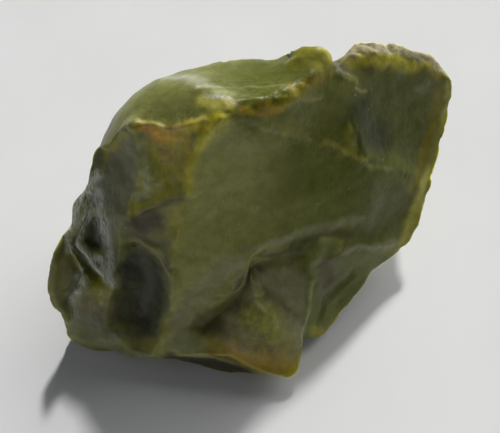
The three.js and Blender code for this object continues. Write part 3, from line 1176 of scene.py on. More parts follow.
# The left-hand end.
ARRIS: Line = (
    (-5.7, 3.1, 41.0), (-7.1, 1.8, 39.0), (-8.7, -0.2, 35.4), (-9.9, -2.4, 31.7), (-11.9, -6.3, 25.6),
    (-13.0, -8.7, 22.2),
)
FACET_EDGE: Line = ((-16.2, 3.7, 37.3), (-16.4, 1.3, 34.2), (-17.4, -1.4, 29.8), (-18.9, -3.5, 26.4))
MILKY_STREAK: Line = ((-16.3, 3.9, 37.2), (-16.3, 2.4, 35.4), (-16.2, 0.7, 33.6), (-16.0, -1.9, 30.8))
SHOULDER: Line = ((-23.7, 1.9, 30.1), (-22.5, 3.5, 31.9), (-20.8, 4.1, 33.9), (-18.3, 4.4, 36.8))
OVERHANG: Line = ((-20.3, -4.4, 24.4), (-16.9, -3.8, 27.0), (-13.3, -3.3, 29.2), (-10.1, -3.0, 30.6))
BOWL: Line = ((-19.4, -9.3, 17.4), (-18.3, -11.6, 13.9), (-19.2, -15.6, 8.8))
BOWL_RIM: Line = (
    (-20.7, -6.4, 20.8), (-16.8, -7.8, 20.8), (-14.8, -9.6, 19.4), (-13.4, -12.2, 17.6),
    (-13.8, -14.9, 14.4), (-15.1, -17.3, 10.8), (-16.8, -20.5, 7.3),
)
OUTER_V: Line = (
    (-24.2, 1.4, 29.4), (-26.3, -0.4, 26.8), (-28.1, -1.7, 25.0), (-30.2, -5.0, 21.7),
    (-31.1, -6.1, 19.6), (-29.2, -8.6, 16.7), (-29.0, -10.0, 15.6), (-30.4, -12.2, 12.6),
)
INNER_V: Line = (
    (-25.8, -1.8, 25.3), (-28.0, -3.9, 21.9), (-29.0, -6.3, 20.1), (-27.2, -8.7, 16.3),
    (-25.1, -11.0, 14.8),
)
SHEEN_BAND: Line = (
    (-24.6, -0.2, 27.3), (-24.6, -3.3, 23.6), (-24.1, -6.3, 19.2), (-24.0, -8.3, 17.8),
    (-24.0, -11.6, 15.4),
)
SHEEN_FAN: Line = ((-27.7, -7.8, 17.8), (-26.2, -8.5, 16.8), (-24.6, -9.4, 16.5), (-24.1, -10.6, 16.2))
GEM: Line = ((-26.0, -3.8, 23.0), (-26.3, -6.2, 19.4))
LOBE_RIM: Line = (
    (-31.6, -6.6, 20.8), (-32.3, -8.6, 19.9), (-33.2, -10.4, 18.0), (-34.2, -12.1, 15.2),
    (-34.6, -13.4, 12.8), (-34.5, -14.7, 10.4), (-34.2, -15.9, 7.8),
)

# The crest and the top.
CREST: Line = (
    (-16.9, 4.9, 38.4), (-14.7, 4.8, 39.0), (-12.0, 3.5, 39.0), (-9.9, 3.5, 39.7), (-6.7, 4.0, 41.0),
)
CREST_FALL: Line = ((-15.2, 4.3, 38.4), (-14.1, 3.7, 38.1), (-13.0, 3.3, 37.7), (-11.6, 3.0, 37.9))
CREST_BACK: Line = (
    (-2.9, 4.6, 42.8), (-0.5, 5.5, 43.0), (1.2, 6.6, 42.6), (5.0, 7.5, 42.7), (7.2, 8.6, 42.2),
)
CREST_GLINTS: Line = ((-7.8, 9.5, 41.1), (-6.4, 7.2, 41.7), (-3.6, 7.1, 42.0), (-2.2, 4.5, 42.3))
PLATE_EDGE: Line = ((-3.8, 6.8, 42.1), (-2.7, 5.1, 42.9), (-1.9, 4.4, 41.5))
TOP_RIDGE: Line = ((-12.8, 13.3, 37.9), (-10.1, 12.8, 39.0), (-7.7, 11.1, 40.3), (-6.4, 9.0, 41.3))
LENS_LINE: Line = ((-6.2, 9.0, 41.3), (-1.2, 9.8, 40.4), (3.8, 9.2, 41.4), (5.4, 8.3, 42.1))
LENS_BAND: Line = ((1.2, 5.5, 42.0), (3.0, 5.9, 41.8), (5.1, 6.7, 41.6), (6.6, 8.0, 41.6))
SLAB_TOP: Line = ((7.4, 8.7, 41.4), (9.3, 10.9, 41.0), (11.2, 12.9, 40.3))
KNOB: Line = ((6.4, 14.5, 41.5), (8.4, 13.9, 42.6), (10.6, 13.7, 41.6))

# The front and the foot.
CRACK: Line = (
    (-1.5, 4.1, 40.5), (2.7, 4.6, 37.7), (6.4, 5.2, 34.9), (9.9, 5.5, 32.7), (13.2, 5.4, 30.8),
    (18.0, 4.7, 27.6), (23.6, 6.0, 22.6),
)
LOW_BAND: Line = ((-13.5, -18.3, 9.4), (-10.7, -14.2, 13.9), (-7.2, -11.7, 17.0), (-3.0, -9.4, 19.4))
GREY_BAND: Line = (
    (-0.5, -7.8, 20.7), (4.0, -5.8, 20.2), (8.5, -4.2, 19.4), (14.9, -2.3, 18.2), (18.5, -0.8, 17.5),
)
SCAR_EDGE: Line = (
    (-10.6, -17.5, 9.6), (-9.1, -15.7, 11.4), (-6.8, -14.1, 13.5), (-3.9, -13.6, 13.5),
    (-1.2, -10.4, 17.3), (0.0, -8.7, 17.3), (6.3, -7.4, 16.7), (8.9, -6.7, 15.9),
)
SCAR_SHADE: Line = ((-9.2, -16.8, 9.4), (-6.0, -15.2, 11.0), (-3.4, -13.6, 12.2), (-1.0, -10.8, 15.2))
FLAP_RIDGE: Line = ((-0.2, -10.1, 14.8), (0.7, -12.5, 13.9), (1.6, -14.8, 12.6), (3.8, -17.8, 10.8))
FLAP_LOW: Line = ((-6.6, -20.9, 7.7), (-2.3, -22.3, 6.9), (1.6, -23.4, 6.0), (5.7, -23.6, 5.2))
FLAP_EDGE: Line = ((-7.1, -20.6, 7.8), (-4.0, -22.3, 6.4), (-0.5, -23.9, 4.4), (7.5, -24.3, 3.9))
UNDERSIDE: Line = ((-14.0, -22.0, 3.0), (-11.5, -22.6, 1.9), (-6.9, -23.2, 1.2), (-2.3, -24.1, 0.5))
SIDE_RIDGE: Line = ((10.3, -7.5, 14.2), (10.1, -10.8, 11.4), (9.9, -13.9, 9.5), (9.2, -16.8, 8.7))
SIDE_GROOVE: Line = ((18.0, -7.7, 7.5), (15.8, -9.9, 6.5), (13.3, -12.1, 6.3), (12.0, -15.2, 5.1))
SHELF_LINE: Line = ((16.2, -5.3, 14.0), (20.1, -4.2, 12.6), (26.4, -2.2, 9.6))

# The right-hand end.
SLAB_EDGE: Line = ((14.5, 9.1, 35.2), (15.5, 7.7, 33.0), (16.9, 5.7, 29.8))
SLAB_FADE: Line = ((12.7, 13.3, 39.9), (13.4, 11.4, 38.8), (14.2, 10.3, 36.8))
SLAB_SHADE: Line = ((16.2, 9.9, 34.0), (18.2, 8.8, 30.2), (21.0, 8.9, 27.0))
NOTCH_RIPPLE: Line = ((13.2, 12.5, 39.6), (14.4, 12.8, 38.3), (15.7, 13.1, 37.0))
NOTCH_ARC: Line = ((15.6, 12.5, 36.6), (16.5, 12.7, 35.6), (17.5, 13.1, 35.0))
CREST_LIP: Line = ((6.3, 7.4, 41.0), (7.9, 8.2, 39.5), (9.7, 9.2, 38.6))
CREASE: Line = (
    (18.2, 4.8, 27.5), (21.0, 5.4, 25.0), (24.3, 6.3, 22.1), (28.2, 7.0, 18.6), (31.1, 7.5, 16.1),
)
EAST_RIDGE: Line = (
    (15.0, 16.6, 39.9), (17.5, 16.9, 39.8), (19.2, 17.3, 39.1), (21.4, 18.2, 37.8), (23.7, 18.8, 36.1),
    (25.8, 19.5, 34.6), (29.2, 20.1, 32.1), (31.5, 20.4, 29.9),
)
EAST_TOP: Line = (
    (14.5, 16.0, 39.3), (16.8, 16.2, 39.0), (19.4, 16.7, 37.9), (22.1, 17.7, 36.3), (26.5, 18.9, 33.4),
)
EAST_RIM: Line = (
    (34.4, 20.3, 26.8), (34.7, 17.9, 23.1), (34.2, 14.7, 19.9), (33.0, 11.0, 17.4), (31.4, 7.2, 15.5),
    (30.6, 4.2, 12.4), (28.6, -1.2, 8.5),
)
EAST_RIM_INNER: Line = (
    (32.0, 18.7, 26.4), (32.1, 16.0, 22.8), (31.4, 12.6, 19.9), (30.0, 8.9, 18.2), (28.7, 5.6, 16.0),
)

# The ways that the breaks face.
WEST: Triple = (-0.8, -0.5, 0.3)
LOBE_FACE: Triple = (0.3, -0.9, 0.35)
FRONT: Triple = (0.6, -0.6, 0.4)
EAST: Triple = (0.8, -0.4, 0.5)
TOP: Triple = (0.0, 0.3, 0.9)

# Where the crumbly rind is left, and where the hairs run across instead of down.
RIND_LINE: Line = ((14.5, 18.0, 39.8), (20.0, 20.0, 38.4), (26.0, 21.8, 35.0), (31.5, 22.6, 30.6))
RIND: tuple[Touch, ...] = (touch(1.0, 3.0, *RIND_LINE, fade=0.6, ragged_mm=1.2),)
COMBED: tuple[Touch, ...] = (touch(1.0, 6.5, *BOWL, fade=0.4),)

# The dents, ledges and rubbed places of the breaks, in the order they are made.
CARVING: tuple[Dent | Ledge | Rub, ...] = (
    Rub(Stroke(SLAB_FADE, 4.0, fade=0.8), passes=26),
    Rub(Stroke(CREASE, 3.5, fade=0.8), passes=20),
    Rub(Stroke(SLAB_EDGE, 1.8, fade=0.8), passes=8),
    Rub(Stroke(CREST_BACK, 2.4, fade=0.8), passes=24),
    Rub(Stroke(EAST_RIDGE, 1.8, fade=0.8), passes=12),
    Rub(Stroke(LOBE_RIM[1:], 3.0, fade=0.8), passes=12),
    Dent(Stroke(LOBE_RIM[:2], 2.0), -0.35),
    Dent(Stroke(LOBE_RIM[2:], 3.4), -0.7),
    Rub(Stroke(KNOB, 2.6, fade=0.6), passes=8),
    Dent(Stroke(KNOB, 3.2), -0.55),
    Ledge(Stroke(FACET_EDGE, 4.0, fade=0.8), high_side=(-1.0, 0.0, 0.0), height_mm=0.55, riser_mm=0.7),
    Ledge(Stroke(OVERHANG, 3.0), high_side=(-0.3, 0.2, 0.9), height_mm=0.3, riser_mm=0.8),
    Dent(Stroke(CREST, 0.9, fade=0.8), -0.3),
    Dent(Stroke(BOWL, 5.8), 0.9),
    Ledge(Stroke(BOWL_RIM, 2.5, fade=0.8), high_side=(0.7, 0.2, 0.6), height_mm=0.4, riser_mm=1.0),
    Dent(Stroke(OUTER_V, 1.2, toward=LOBE_FACE), -0.4),
    Dent(Stroke(INNER_V, 1.0, toward=LOBE_FACE), -0.4),
    Dent(Stroke(GEM, 1.6, fade=0.8), 0.5),
    Dent(Stroke(SCAR_EDGE, 0.9, fade=0.8), 0.2),
    Dent(Stroke(FLAP_RIDGE, 1.1), -0.42),
    Dent(Stroke(SIDE_RIDGE, 1.2), -0.3),
    Dent(Stroke(SIDE_GROOVE, 1.8), 0.4),
    Dent(Stroke(((14.5, -5.0, 15.2),), 2.0), -0.4),
    Ledge(Stroke(NOTCH_RIPPLE, 1.2), high_side=(-0.6, 0.0, 0.8), height_mm=0.3, riser_mm=0.5),
    Ledge(Stroke(CREST_LIP, 1.0), high_side=(0.0, 0.3, 0.9), height_mm=0.2, riser_mm=0.5),
    Ledge(Stroke(LENS_LINE, 2.5, fade=0.8), high_side=(0.0, -1.0, 0.3), height_mm=0.25, riser_mm=0.7),
)

# Where the surface is frosted with pale hairs, and how strongly. On the left-hand V these strokes are painted
# sheen, pale strips of reflected light, and along the crest they are painted glints.
FROSTED_AND_SHEEN: tuple[Touch, ...] = (
    touch(1.0, 1.5, *OUTER_V[:4], ragged_mm=0.3),
    touch(1.0, 1.5, *OUTER_V[3:], toward=LOBE_FACE, ragged_mm=0.3),
    touch(1.0, 1.2, *INNER_V, ragged_mm=0.3),
    touch(0.8, 1.9, *SHEEN_BAND, ragged_mm=0.3),
    touch(0.9, 1.4, *SHEEN_FAN),
    touch(0.9, 1.4, *OUTER_V[4:7], fade=0.8, toward=LOBE_FACE, ragged_mm=0.3),
    touch(0.15, 3.0, (-23.0, 1.0, 30.0), (-22.4, -2.4, 25.8), (-23.2, -5.0, 22.0)),
    touch(0.45, 2.0, (-30.0, -11.6, 13.7), (-31.5, -12.9, 11.0), (-32.1, -15.9, 6.5)),
    touch(0.06, 3.5, (-28.5, -14.5, 9.5), (-27.5, -17.5, 5.5)),
    touch(0.05, 5.4, *BOWL, fade=0.8),
    # Painted glints along the crest.
    touch(0.6, 0.6, *CREST_GLINTS, ragged_mm=0.6),
    touch(0.16, 1.3, (29.9, 19.0, 29.0), (27.9, 17.9, 29.6)),
)

# Where it is finely pitted and clouded, and how strongly.
WORN: tuple[Touch, ...] = (
    touch(0.55, 6.0, *CRACK[:6], ragged_mm=2.0),
    touch(0.5, 5.0, *LENS_LINE, ragged_mm=1.5),
    touch(0.7, 3.0, *CREST_BACK, ragged_mm=1.5),
    touch(0.7, 3.5, *CREST, ragged_mm=1.5),
    touch(0.6, 5.0, (-13.0, 2.6, 36.2), (-14.0, -0.8, 31.8), ragged_mm=1.5),
    touch(0.65, 5.0, (-27.5, -12.0, 12.5), (-26.0, -17.0, 6.5), ragged_mm=1.5),
    touch(0.45, 6.5, (0.0, -16.0, 11.5), (2.0, -21.5, 7.8), ragged_mm=2.0),
    touch(0.4, 3.0, *EAST_TOP, ragged_mm=1.0),
)

# The broad changes of the body colour, from end to end. The front faces are painted lighter, and the top and
# the east face darker: partly the stone's own colour, and partly painted light, a glow on the front from
# light that passes through the stone, and painted shade on the top and on the east face.
BODY_STAINS: tuple[Stain, ...] = (
    stain(Tone.SLATE, 0.9, 16.0, (-30.0, -8.0, 20.0), (-18.0, -2.0, 30.0), (-20.0, -16.0, 8.0), fade=0.6,
          toward=WEST),
    stain(Tone.MOSS, 0.95, 14.0, (-10.0, 1.0, 34.0), (-9.0, -9.0, 21.0), (-12.0, -19.0, 8.0), fade=0.9,
          toward=FRONT),
    stain(Tone.MOSS, 0.75, 12.0, (-2.0, 0.0, 31.0), (-1.0, -8.0, 21.0), toward=FRONT),
    stain(Tone.MILKY, 0.25, 4.0, (-5.0, 2.2, 39.0), (-1.5, 1.5, 36.0)),
    stain(Tone.FERN, 0.9, 14.0, (12.0, 4.0, 30.0), (12.5, -2.0, 22.0), toward=FRONT),
    stain(Tone.MOSS, 0.3, 4.5, (5.0, -2.5, 24.0), (11.0, -1.5, 21.5), toward=FRONT),
    stain(Tone.OLIVE, 0.25, 3.2, (2.5, 4.6, 38.8), (7.5, 5.6, 36.0), toward=FRONT),
    stain(Tone.DEEP, 1.0, 14.0, (24.0, 13.0, 31.0), (27.0, 5.0, 18.0), fade=0.8, toward=EAST),
    stain(Tone.DULL, 0.9, 9.0, (-16.0, 9.0, 38.0), (-9.0, 9.0, 40.5), fade=0.6, toward=TOP),
    stain(Tone.DEEP, 0.9, 5.0, (-3.0, 11.5, 40.0), (8.0, 11.5, 41.0), fade=0.6, toward=TOP),
)

# The stains of the left-hand end.
WEST_STAINS: tuple[Stain, ...] = (
    stain(Tone.OLIVE, 0.95, 4.2, (-13.0, 2.6, 36.2), (-14.0, -0.8, 31.8), fade=0.6, toward=WEST),
    stain(Tone.MILKY, 0.6, 1.5, (-15.0, -0.8, 31.9), (-13.9, -1.8, 30.6)),
    stain(Tone.RUST, 0.25, 2.6, (-14.6, 3.4, 37.4), (-12.8, 2.9, 37.0), (-12.2, 1.7, 35.1),
          ragged_mm=1.4),
    stain(Tone.BARK, 0.3, 2.2, (-13.4, 2.6, 36.6), (-11.8, 1.4, 34.8), ragged_mm=1.6),
    stain(Tone.RUST, 0.85, 1.4, *CREST_FALL),
    stain(Tone.OCHRE, 0.7, 1.3, (-9.9, 2.4, 38.2), (-9.5, 1.0, 36.2), (-10.3, -1.0, 33.0)),
    stain(Tone.OLIVE, 0.9, 1.6, (-19.0, -3.2, 26.8), (-16.2, -3.1, 28.5), (-12.6, -2.6, 30.3), fade=0.8),
    stain(Tone.OLIVE, 0.6, 2.8, (-15.0, -5.9, 24.4), (-12.6, -5.2, 27.0), fade=0.8),
    stain(Tone.OLIVE, 0.7, 2.2, *ARRIS, toward=WEST),
    stain(Tone.GOLD, 0.5, 1.6, *ARRIS[:4]),
    # Painted highlight: a pale streak along the step at the facet's edge.
    stain(Tone.MILKY, 0.95, 1.0, *MILKY_STREAK, fade=0.8, ragged_mm=0.3),
    stain(Tone.OLIVE, 0.7, 1.0, *SHOULDER, fade=0.8),
    # Painted shadow: a dark line under the overhang's lower edge, then plum and brown patches just below it.
    stain(Tone.BARK, 0.9, 1.2, *OVERHANG, ragged_mm=0.4),
    stain(Tone.PLUM, 0.9, 2.6, (-18.8, -4.7, 24.5), (-16.8, -4.8, 25.2), (-15.0, -4.7, 26.0),
          ragged_mm=1.2),
    stain(Tone.BARK, 0.45, 2.0, (-19.5, -5.6, 22.6), (-14.9, -6.8, 22.8), fade=0.8),
    stain(Tone.BARK, 0.7, 3.2, (-17.6, -4.8, 24.6), (-15.6, -4.2, 26.2), (-14.2, -4.2, 27.0),
          ragged_mm=1.4),
    stain(Tone.PLUM, 0.45, 2.8, (-17.6, -4.8, 24.6), (-15.6, -4.2, 26.4), ragged_mm=1.0),
    # Painted shade: the bowl's hollow is painted nearly black.
    stain(Tone.BOTTLE, 0.95, 5.4, *BOWL, fade=0.7),
    stain(Tone.BARK, 0.6, 4.0, (-26.8, -13.2, 11.5), (-26.0, -16.5, 7.0), ragged_mm=2.0),
    stain(Tone.PLUM, 0.75, 3.2, (-21.4, -9.5, 17.9), (-21.4, -13.0, 12.5), (-21.6, -16.5, 7.5)),
    stain(Tone.OLIVE, 0.35, 1.0, *BOWL_RIM),
    stain(Tone.BOTTLE, 0.97, 2.3, *GEM, fade=0.6),
    stain(Tone.DULL, 0.6, 1.2, (-21.9, -5.6, 23.1), (-21.8, -9.1, 18.7), (-23.2, -12.5, 14.0), fade=0.8),
    stain(Tone.OLIVE, 0.6, 1.6, (-28.3, -10.4, 14.2), (-26.9, -11.4, 13.3), fade=0.8),
    stain(Tone.OLIVE, 0.7, 3.2, (-27.6, -11.4, 13.2), (-26.0, -12.4, 13.2), (-29.0, -13.8, 10.2),
          fade=0.9, ragged_mm=2.2),
    stain(Tone.MILKY, 0.4, 1.1, (-26.0, -12.0, 13.4), (-27.6, -14.4, 9.6), ragged_mm=1.8),
    stain(Tone.BARK, 0.7, 3.0, (-22.9, -13.0, 12.5), (-23.7, -16.2, 7.7), ragged_mm=1.5),
    stain(Tone.BOTTLE, 0.6, 2.2, (-22.3, -9.5, 17.0), (-22.6, -12.5, 13.0), (-23.2, -16.0, 8.0)),
    stain(Tone.BARK, 0.65, 3.0, (-29.4, -13.4, 10.8), (-27.0, -16.0, 8.0), fade=0.8),
    # Painted shade on the sunlit top of the left-hand lobe.
    stain(Tone.DULL, 0.8, 4.5, (-32.5, -8.5, 20.0), (-34.0, -12.6, 14.0), fade=0.8),
    stain(Tone.PLUM, 0.6, 2.0, (-31.4, -7.4, 18.4), (-31.4, -9.4, 15.4), (-32.3, -13.1, 9.9), fade=0.8),
    stain(Tone.SLATE, 0.8, 1.8, (-30.4, -8.4, 17.0), (-29.9, -11.0, 14.2), (-30.6, -13.4, 10.8)),
)

# The stains that are laid last of all: painted shade on the sunlit rim of the left-hand lobe, grey on the
# lobe, and painted shade on the glowing lip of the low scar.
LAST_STAINS: tuple[Stain, ...] = (
    stain(Tone.DULL, 0.85, 3.2, *LOBE_RIM, fade=0.8),
    stain(Tone.BARK, 0.9, 4.5, *LOBE_RIM, fade=0.5, toward=(-0.8, 0.4, 0.4)),
    stain(Tone.BARK, 0.8, 1.6, *LOBE_RIM[:2]),
    stain(Tone.ASH, 0.7, 2.6, (-31.9, -8.8, 17.4), (-32.6, -11.0, 14.6), (-33.2, -13.2, 11.4)),
    stain(Tone.SLATE, 0.6, 0.8, *SCAR_EDGE[:6], ragged_mm=0.2),
)

# The stains of the crest and of the top.
CREST_STAINS: tuple[Stain, ...] = (
    # A pale band on the top ridge: frosting there, with the sun's highlight painted into it.
    stain(Tone.FROST, 0.38, 1.8, *TOP_RIDGE),
    stain(Tone.MILKY, 0.7, 1.2, (-6.4, 9.0, 41.3), (-4.6, 8.0, 41.8), (-3.0, 8.0, 42.0)),
    stain(Tone.OCHRE, 0.6, 1.5, (-12.5, 3.0, 38.0), (-9.9, 3.0, 39.3), (-7.5, 3.4, 40.4), fade=0.8),
    stain(Tone.GOLD, 0.9, 1.5, (-9.0, 3.4, 39.7), (-6.5, 3.8, 40.9), (-4.3, 3.9, 41.8)),
    stain(Tone.STRAW, 0.9, 1.7, (-7.5, 6.7, 41.4), (-5.6, 6.1, 41.8), (-3.4, 4.9, 42.4)),
    stain(Tone.MILKY, 0.8, 1.0, (-7.3, 8.2, 41.2), (-5.0, 7.2, 41.9), (-3.0, 6.1, 42.4)),
    stain(Tone.STRAW, 0.5, 2.0, (-5.4, 2.6, 40.2), (-3.6, 3.0, 40.2)),
    stain(Tone.BLUSH, 0.6, 0.7, *PLATE_EDGE, ragged_mm=0.5),
    stain(Tone.RUST, 0.95, 1.2, (-2.2, 4.8, 42.6), (-1.5, 4.6, 41.8)),
    stain(Tone.GOLD, 0.9, 1.0, (-1.2, 4.9, 42.0), (-0.1, 4.9, 41.3)),
    stain(Tone.OCHRE, 0.85, 1.7, *LENS_BAND, fade=0.8, ragged_mm=1.4),
    # Painted highlight along the crest's lip.
    stain(Tone.BLUSH, 0.9, 0.5, *CREST_LIP, ragged_mm=0.3),
    stain(Tone.RUST, 0.5, 1.3, (0.8, 5.0, 41.2), (2.0, 5.2, 40.9)),
    stain(Tone.OLIVE, 0.6, 1.2, (3.6, 6.1, 42.0), (5.9, 7.3, 41.7)),
    stain(Tone.OCHRE, 0.55, 1.8, *SLAB_TOP, ragged_mm=1.2),
    # The knob in olive and straw: partly its colour, partly painted glow of light passing through it.
    stain(Tone.OLIVE, 0.8, 3.0, *KNOB, fade=0.8),
    stain(Tone.STRAW, 0.6, 2.6, (7.2, 13.6, 41.8), (9.6, 13.4, 42.2)),
    stain(Tone.PLUM, 0.6, 1.8, (11.4, 13.4, 40.3), (12.3, 14.0, 39.9), (13.0, 12.9, 39.6)),
    stain(Tone.OCHRE, 0.3, 1.4, *CREST_BACK[1:3], ragged_mm=1.2),
    stain(Tone.RUST, 0.3, 1.2, (0.2, 5.6, 42.4), (1.6, 6.0, 42.2)),
    stain(Tone.FERN, 0.45, 2.2, (4.0, 7.0, 42.2), (7.4, 8.4, 41.6), ragged_mm=1.2),
    stain(Tone.BLUSH, 0.85, 0.7, *CREST, ragged_mm=0.3),
)

# The stains of the low breaks at the front.
FOOT_STAINS: tuple[Stain, ...] = (
    stain(Tone.ASH, 0.6, 3.6, (-13.0, -16.5, 11.5), (-13.0, -20.5, 7.5), (-9.5, -21.0, 7.4)),
    stain(Tone.ASH, 0.65, 3.6, *LOW_BAND, fade=0.8),
    stain(Tone.ASH, 0.6, 1.6, *GREY_BAND, fade=0.8),
    stain(Tone.PLUM, 0.7, 1.6, (0.8, -8.0, 18.6), (6.3, -6.9, 17.3), (8.6, -6.2, 16.6), ragged_mm=1.0),
    stain(Tone.PLUM, 0.55, 1.2, (7.0, -5.8, 17.9), (11.5, -4.2, 17.6), ragged_mm=1.0),
    stain(Tone.OLIVE, 0.6, 1.8, (-15.4, -17.7, 10.3), (-17.2, -20.6, 6.9), (-23.6, -19.6, 4.6), fade=0.8),
    stain(Tone.BARK, 0.4, 1.4, (-15.3, -17.4, 10.6), (-16.2, -19.0, 8.6)),
    stain(Tone.ASH, 0.8, 1.8, (-32.6, -18.7, 1.5), (-28.2, -19.2, 2.3), (-25.0, -19.4, 4.3), fade=0.8),
    stain(Tone.ASH, 0.95, 5.2, (1.0, -12.0, 14.0), (-2.0, -19.0, 9.5), (5.0, -21.0, 8.0),
          (6.5, -12.0, 12.5), fade=0.5),
    stain(Tone.BLUSH, 0.2, 3.4, (-3.5, -17.2, 10.6), (-1.5, -18.6, 10.0)),
    stain(Tone.MOSS, 0.9, 4.5, (-1.0, -15.5, 12.0), (3.0, -19.0, 9.8), ragged_mm=2.0),
    stain(Tone.STRAW, 0.4, 3.6, (1.6, -15.5, 12.2), (3.8, -17.8, 10.8), (5.0, -19.2, 9.5), ragged_mm=1.6),
    stain(Tone.STRAW, 0.4, 3.4, (-0.5, -16.7, 11.2), (2.0, -18.8, 10.4), ragged_mm=2.0),
    stain(Tone.BARK, 0.6, 1.5, (2.2, -12.9, 13.5), (4.7, -14.2, 12.3), (8.0, -15.8, 10.0)),
    stain(Tone.OCHRE, 0.45, 6.0, *FLAP_LOW[1:], ragged_mm=1.6),
    stain(Tone.RUST, 0.3, 3.0, *FLAP_LOW, ragged_mm=1.6),
    stain(Tone.BARK, 0.3, 2.2, (-4.0, -18.8, 9.4), (-1.5, -19.6, 8.9), (2.5, -22.0, 7.2), ragged_mm=2.0),
    stain(Tone.OLIVE, 0.8, 0.9, *FLAP_EDGE[2:], fade=0.8),
    stain(Tone.BARK, 0.9, 1.5, (-7.1, -21.4, 6.6), (-4.0, -23.0, 5.0), (-0.8, -24.3, 3.2), fade=0.7),
    # The dark patch at the flap's upper left: partly stain, partly painted shade.
    stain(Tone.BARK, 0.6, 2.4, (-9.4, -18.2, 8.7), (-7.0, -17.6, 9.2), (-5.2, -18.2, 9.6), ragged_mm=1.2),
    stain(Tone.PLUM, 0.3, 2.2, (-8.4, -17.4, 9.2), (-5.6, -16.8, 10.4), ragged_mm=1.2),
    # Painted shade in the recess below the scar's edge, here and below its right-hand part.
    stain(Tone.BARK, 0.7, 2.1, *SCAR_SHADE, fade=0.8),
    stain(Tone.BARK, 0.6, 1.5, (0.4, -8.9, 16.6), (6.3, -8.0, 15.6), (8.9, -7.2, 15.0)),
    stain(Tone.PLUM, 0.5, 1.0, (0.4, -8.9, 16.8), (1.5, -9.2, 15.8), fade=0.8),
    stain(Tone.MILKY, 0.6, 0.7, *FLAP_RIDGE, ragged_mm=0.3),
    stain(Tone.MILKY, 0.4, 0.9, *SIDE_RIDGE),
    stain(Tone.SLATE, 0.6, 3.6, (12.8, -7.9, 11.9), (15.0, -9.0, 8.4), (13.2, -11.4, 7.1), fade=0.8),
    stain(Tone.BARK, 0.65, 3.2, (12.8, -7.9, 11.9), (14.0, -9.4, 9.0), ragged_mm=1.4),
    # Painted shade in the side groove.
    stain(Tone.BARK, 0.35, 1.6, *SIDE_GROOVE),
    stain(Tone.BARK, 0.5, 1.4, (11.4, -7.4, 13.8), (14.4, -6.5, 13.4), (17.8, -5.4, 11.8), fade=0.8),
    stain(Tone.BARK, 0.6, 1.3, (10.1, -5.3, 16.7), (11.8, -3.7, 18.1), (17.3, -2.9, 15.6), fade=0.8),
    stain(Tone.STRAW, 0.35, 1.1, (11.8, -4.5, 16.9), (14.2, -4.4, 15.9), (16.1, -4.5, 15.0)),
    stain(Tone.MILKY, 0.4, 1.8, (13.0, -4.8, 16.0), (12.0, -6.0, 15.1), (11.3, -7.2, 14.1)),
    stain(Tone.ASH, 0.7, 1.2, *SHELF_LINE, fade=0.8),
    stain(Tone.OLIVE, 0.9, 1.6, (10.8, -17.3, 4.7), (12.9, -17.6, 2.0), fade=0.8),
    # Painted shade on the underside.
    stain(Tone.PLUM, 0.95, 3.4, *UNDERSIDE, fade=0.4, toward=(-0.1, -1.0, 0.15)),
)

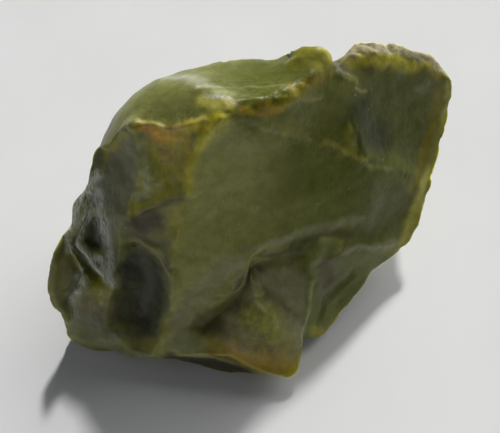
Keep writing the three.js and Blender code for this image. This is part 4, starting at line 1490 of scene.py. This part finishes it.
# The stains of the right-hand end.
EAST_STAINS: tuple[Stain, ...] = (
    stain(Tone.FERN, 0.4, 5.5, *SLAB_SHADE, toward=EAST),
    stain(Tone.BOTTLE, 0.9, 5.5, *SLAB_SHADE, toward=EAST),
    stain(Tone.DEEP, 0.8, 3.0, *CREASE),
    stain(Tone.MILKY, 0.3, 0.65, *CRACK, ragged_mm=0.7),
    stain(Tone.OLIVE, 0.7, 1.1, *CRACK[3:6], ragged_mm=0.9),
    stain(Tone.BLUSH, 0.4, 0.4, *NOTCH_RIPPLE, ragged_mm=0.1),
    stain(Tone.BLUSH, 0.5, 0.4, *NOTCH_ARC, ragged_mm=0.1),
    stain(Tone.OLIVE, 0.45, 1.4, (14.4, 7.6, 33.4), (14.9, 6.6, 31.9), (15.6, 5.4, 30.2)),
    stain(Tone.OLIVE, 0.5, 1.0, (17.5, 5.1, 28.4), (19.5, 4.9, 26.3)),
    stain(Tone.DULL, 0.6, 3.5, (6.6, 7.5, 39.8), (12.9, 9.9, 37.2), (8.4, 6.9, 36.3), fade=0.8),
    stain(Tone.BARK, 0.6, 1.6, (13.6, 14.2, 39.2), (15.8, 14.7, 38.0), (17.9, 15.2, 36.9)),
    stain(Tone.OLIVE, 0.6, 2.2, *EAST_TOP),
    stain(Tone.GOLD, 0.65, 1.9, *EAST_TOP),
    stain(Tone.BARK, 0.7, 1.8, (12.8, 15.2, 39.6), (14.2, 16.8, 39.4)),
    # Painted glow: the thin right-hand rim is made lighter, ochre, olive, straw and milky, standing for light
    # passing through it; bark darkens its middle.
    stain(Tone.OCHRE, 0.5, 1.5, (28.1, 20.0, 32.9), (31.6, 20.3, 29.5)),
    stain(Tone.OCHRE, 0.3, 2.2, *EAST_RIM_INNER),
    stain(Tone.OLIVE, 0.75, 2.5, *EAST_RIM, fade=0.9),
    stain(Tone.STRAW, 0.3, 1.8, *EAST_RIM),
    stain(Tone.STRAW, 0.35, 2.0, *EAST_RIM[3:6]),
    stain(Tone.MILKY, 0.3, 2.0, *EAST_RIM[:2]),
    stain(Tone.BARK, 0.5, 2.4, *EAST_RIM[2:4]),
    stain(Tone.STRAW, 0.4, 2.0, *EAST_RIM[4:]),
    stain(Tone.SLATE, 0.35, 4.0, (20.7, -1.1, 15.6), (26.5, 3.8, 15.5), fade=0.8),
)


def main() -> None:
    """Builds the studio and the stone, and logs the stone's number of faces."""
    noise.seed_set(DRIFT_SEED)  # Without it, the drift at the edges of strokes would follow the clock.
    Studio().build()
    LOG.info("studio: floor, main light, haze, fill, even light, camera")
    stone = RoughOpal(
        finish=OpalFinish(),
        carving=CARVING,
        stains=BODY_STAINS + WEST_STAINS + CREST_STAINS + FOOT_STAINS + EAST_STAINS,
        last_stains=LAST_STAINS,
        touches={Layer.FROST: FROSTED_AND_SHEEN, Layer.WEAR: WORN, Layer.COMB: COMBED, Layer.RIND: RIND},
    ).build()
    LOG.info("%s: %d faces", stone.name, len(stone.data.polygons))


if __name__ == "__main__":
    logging.basicConfig(level=logging.INFO, format="%(message)s")
    main()
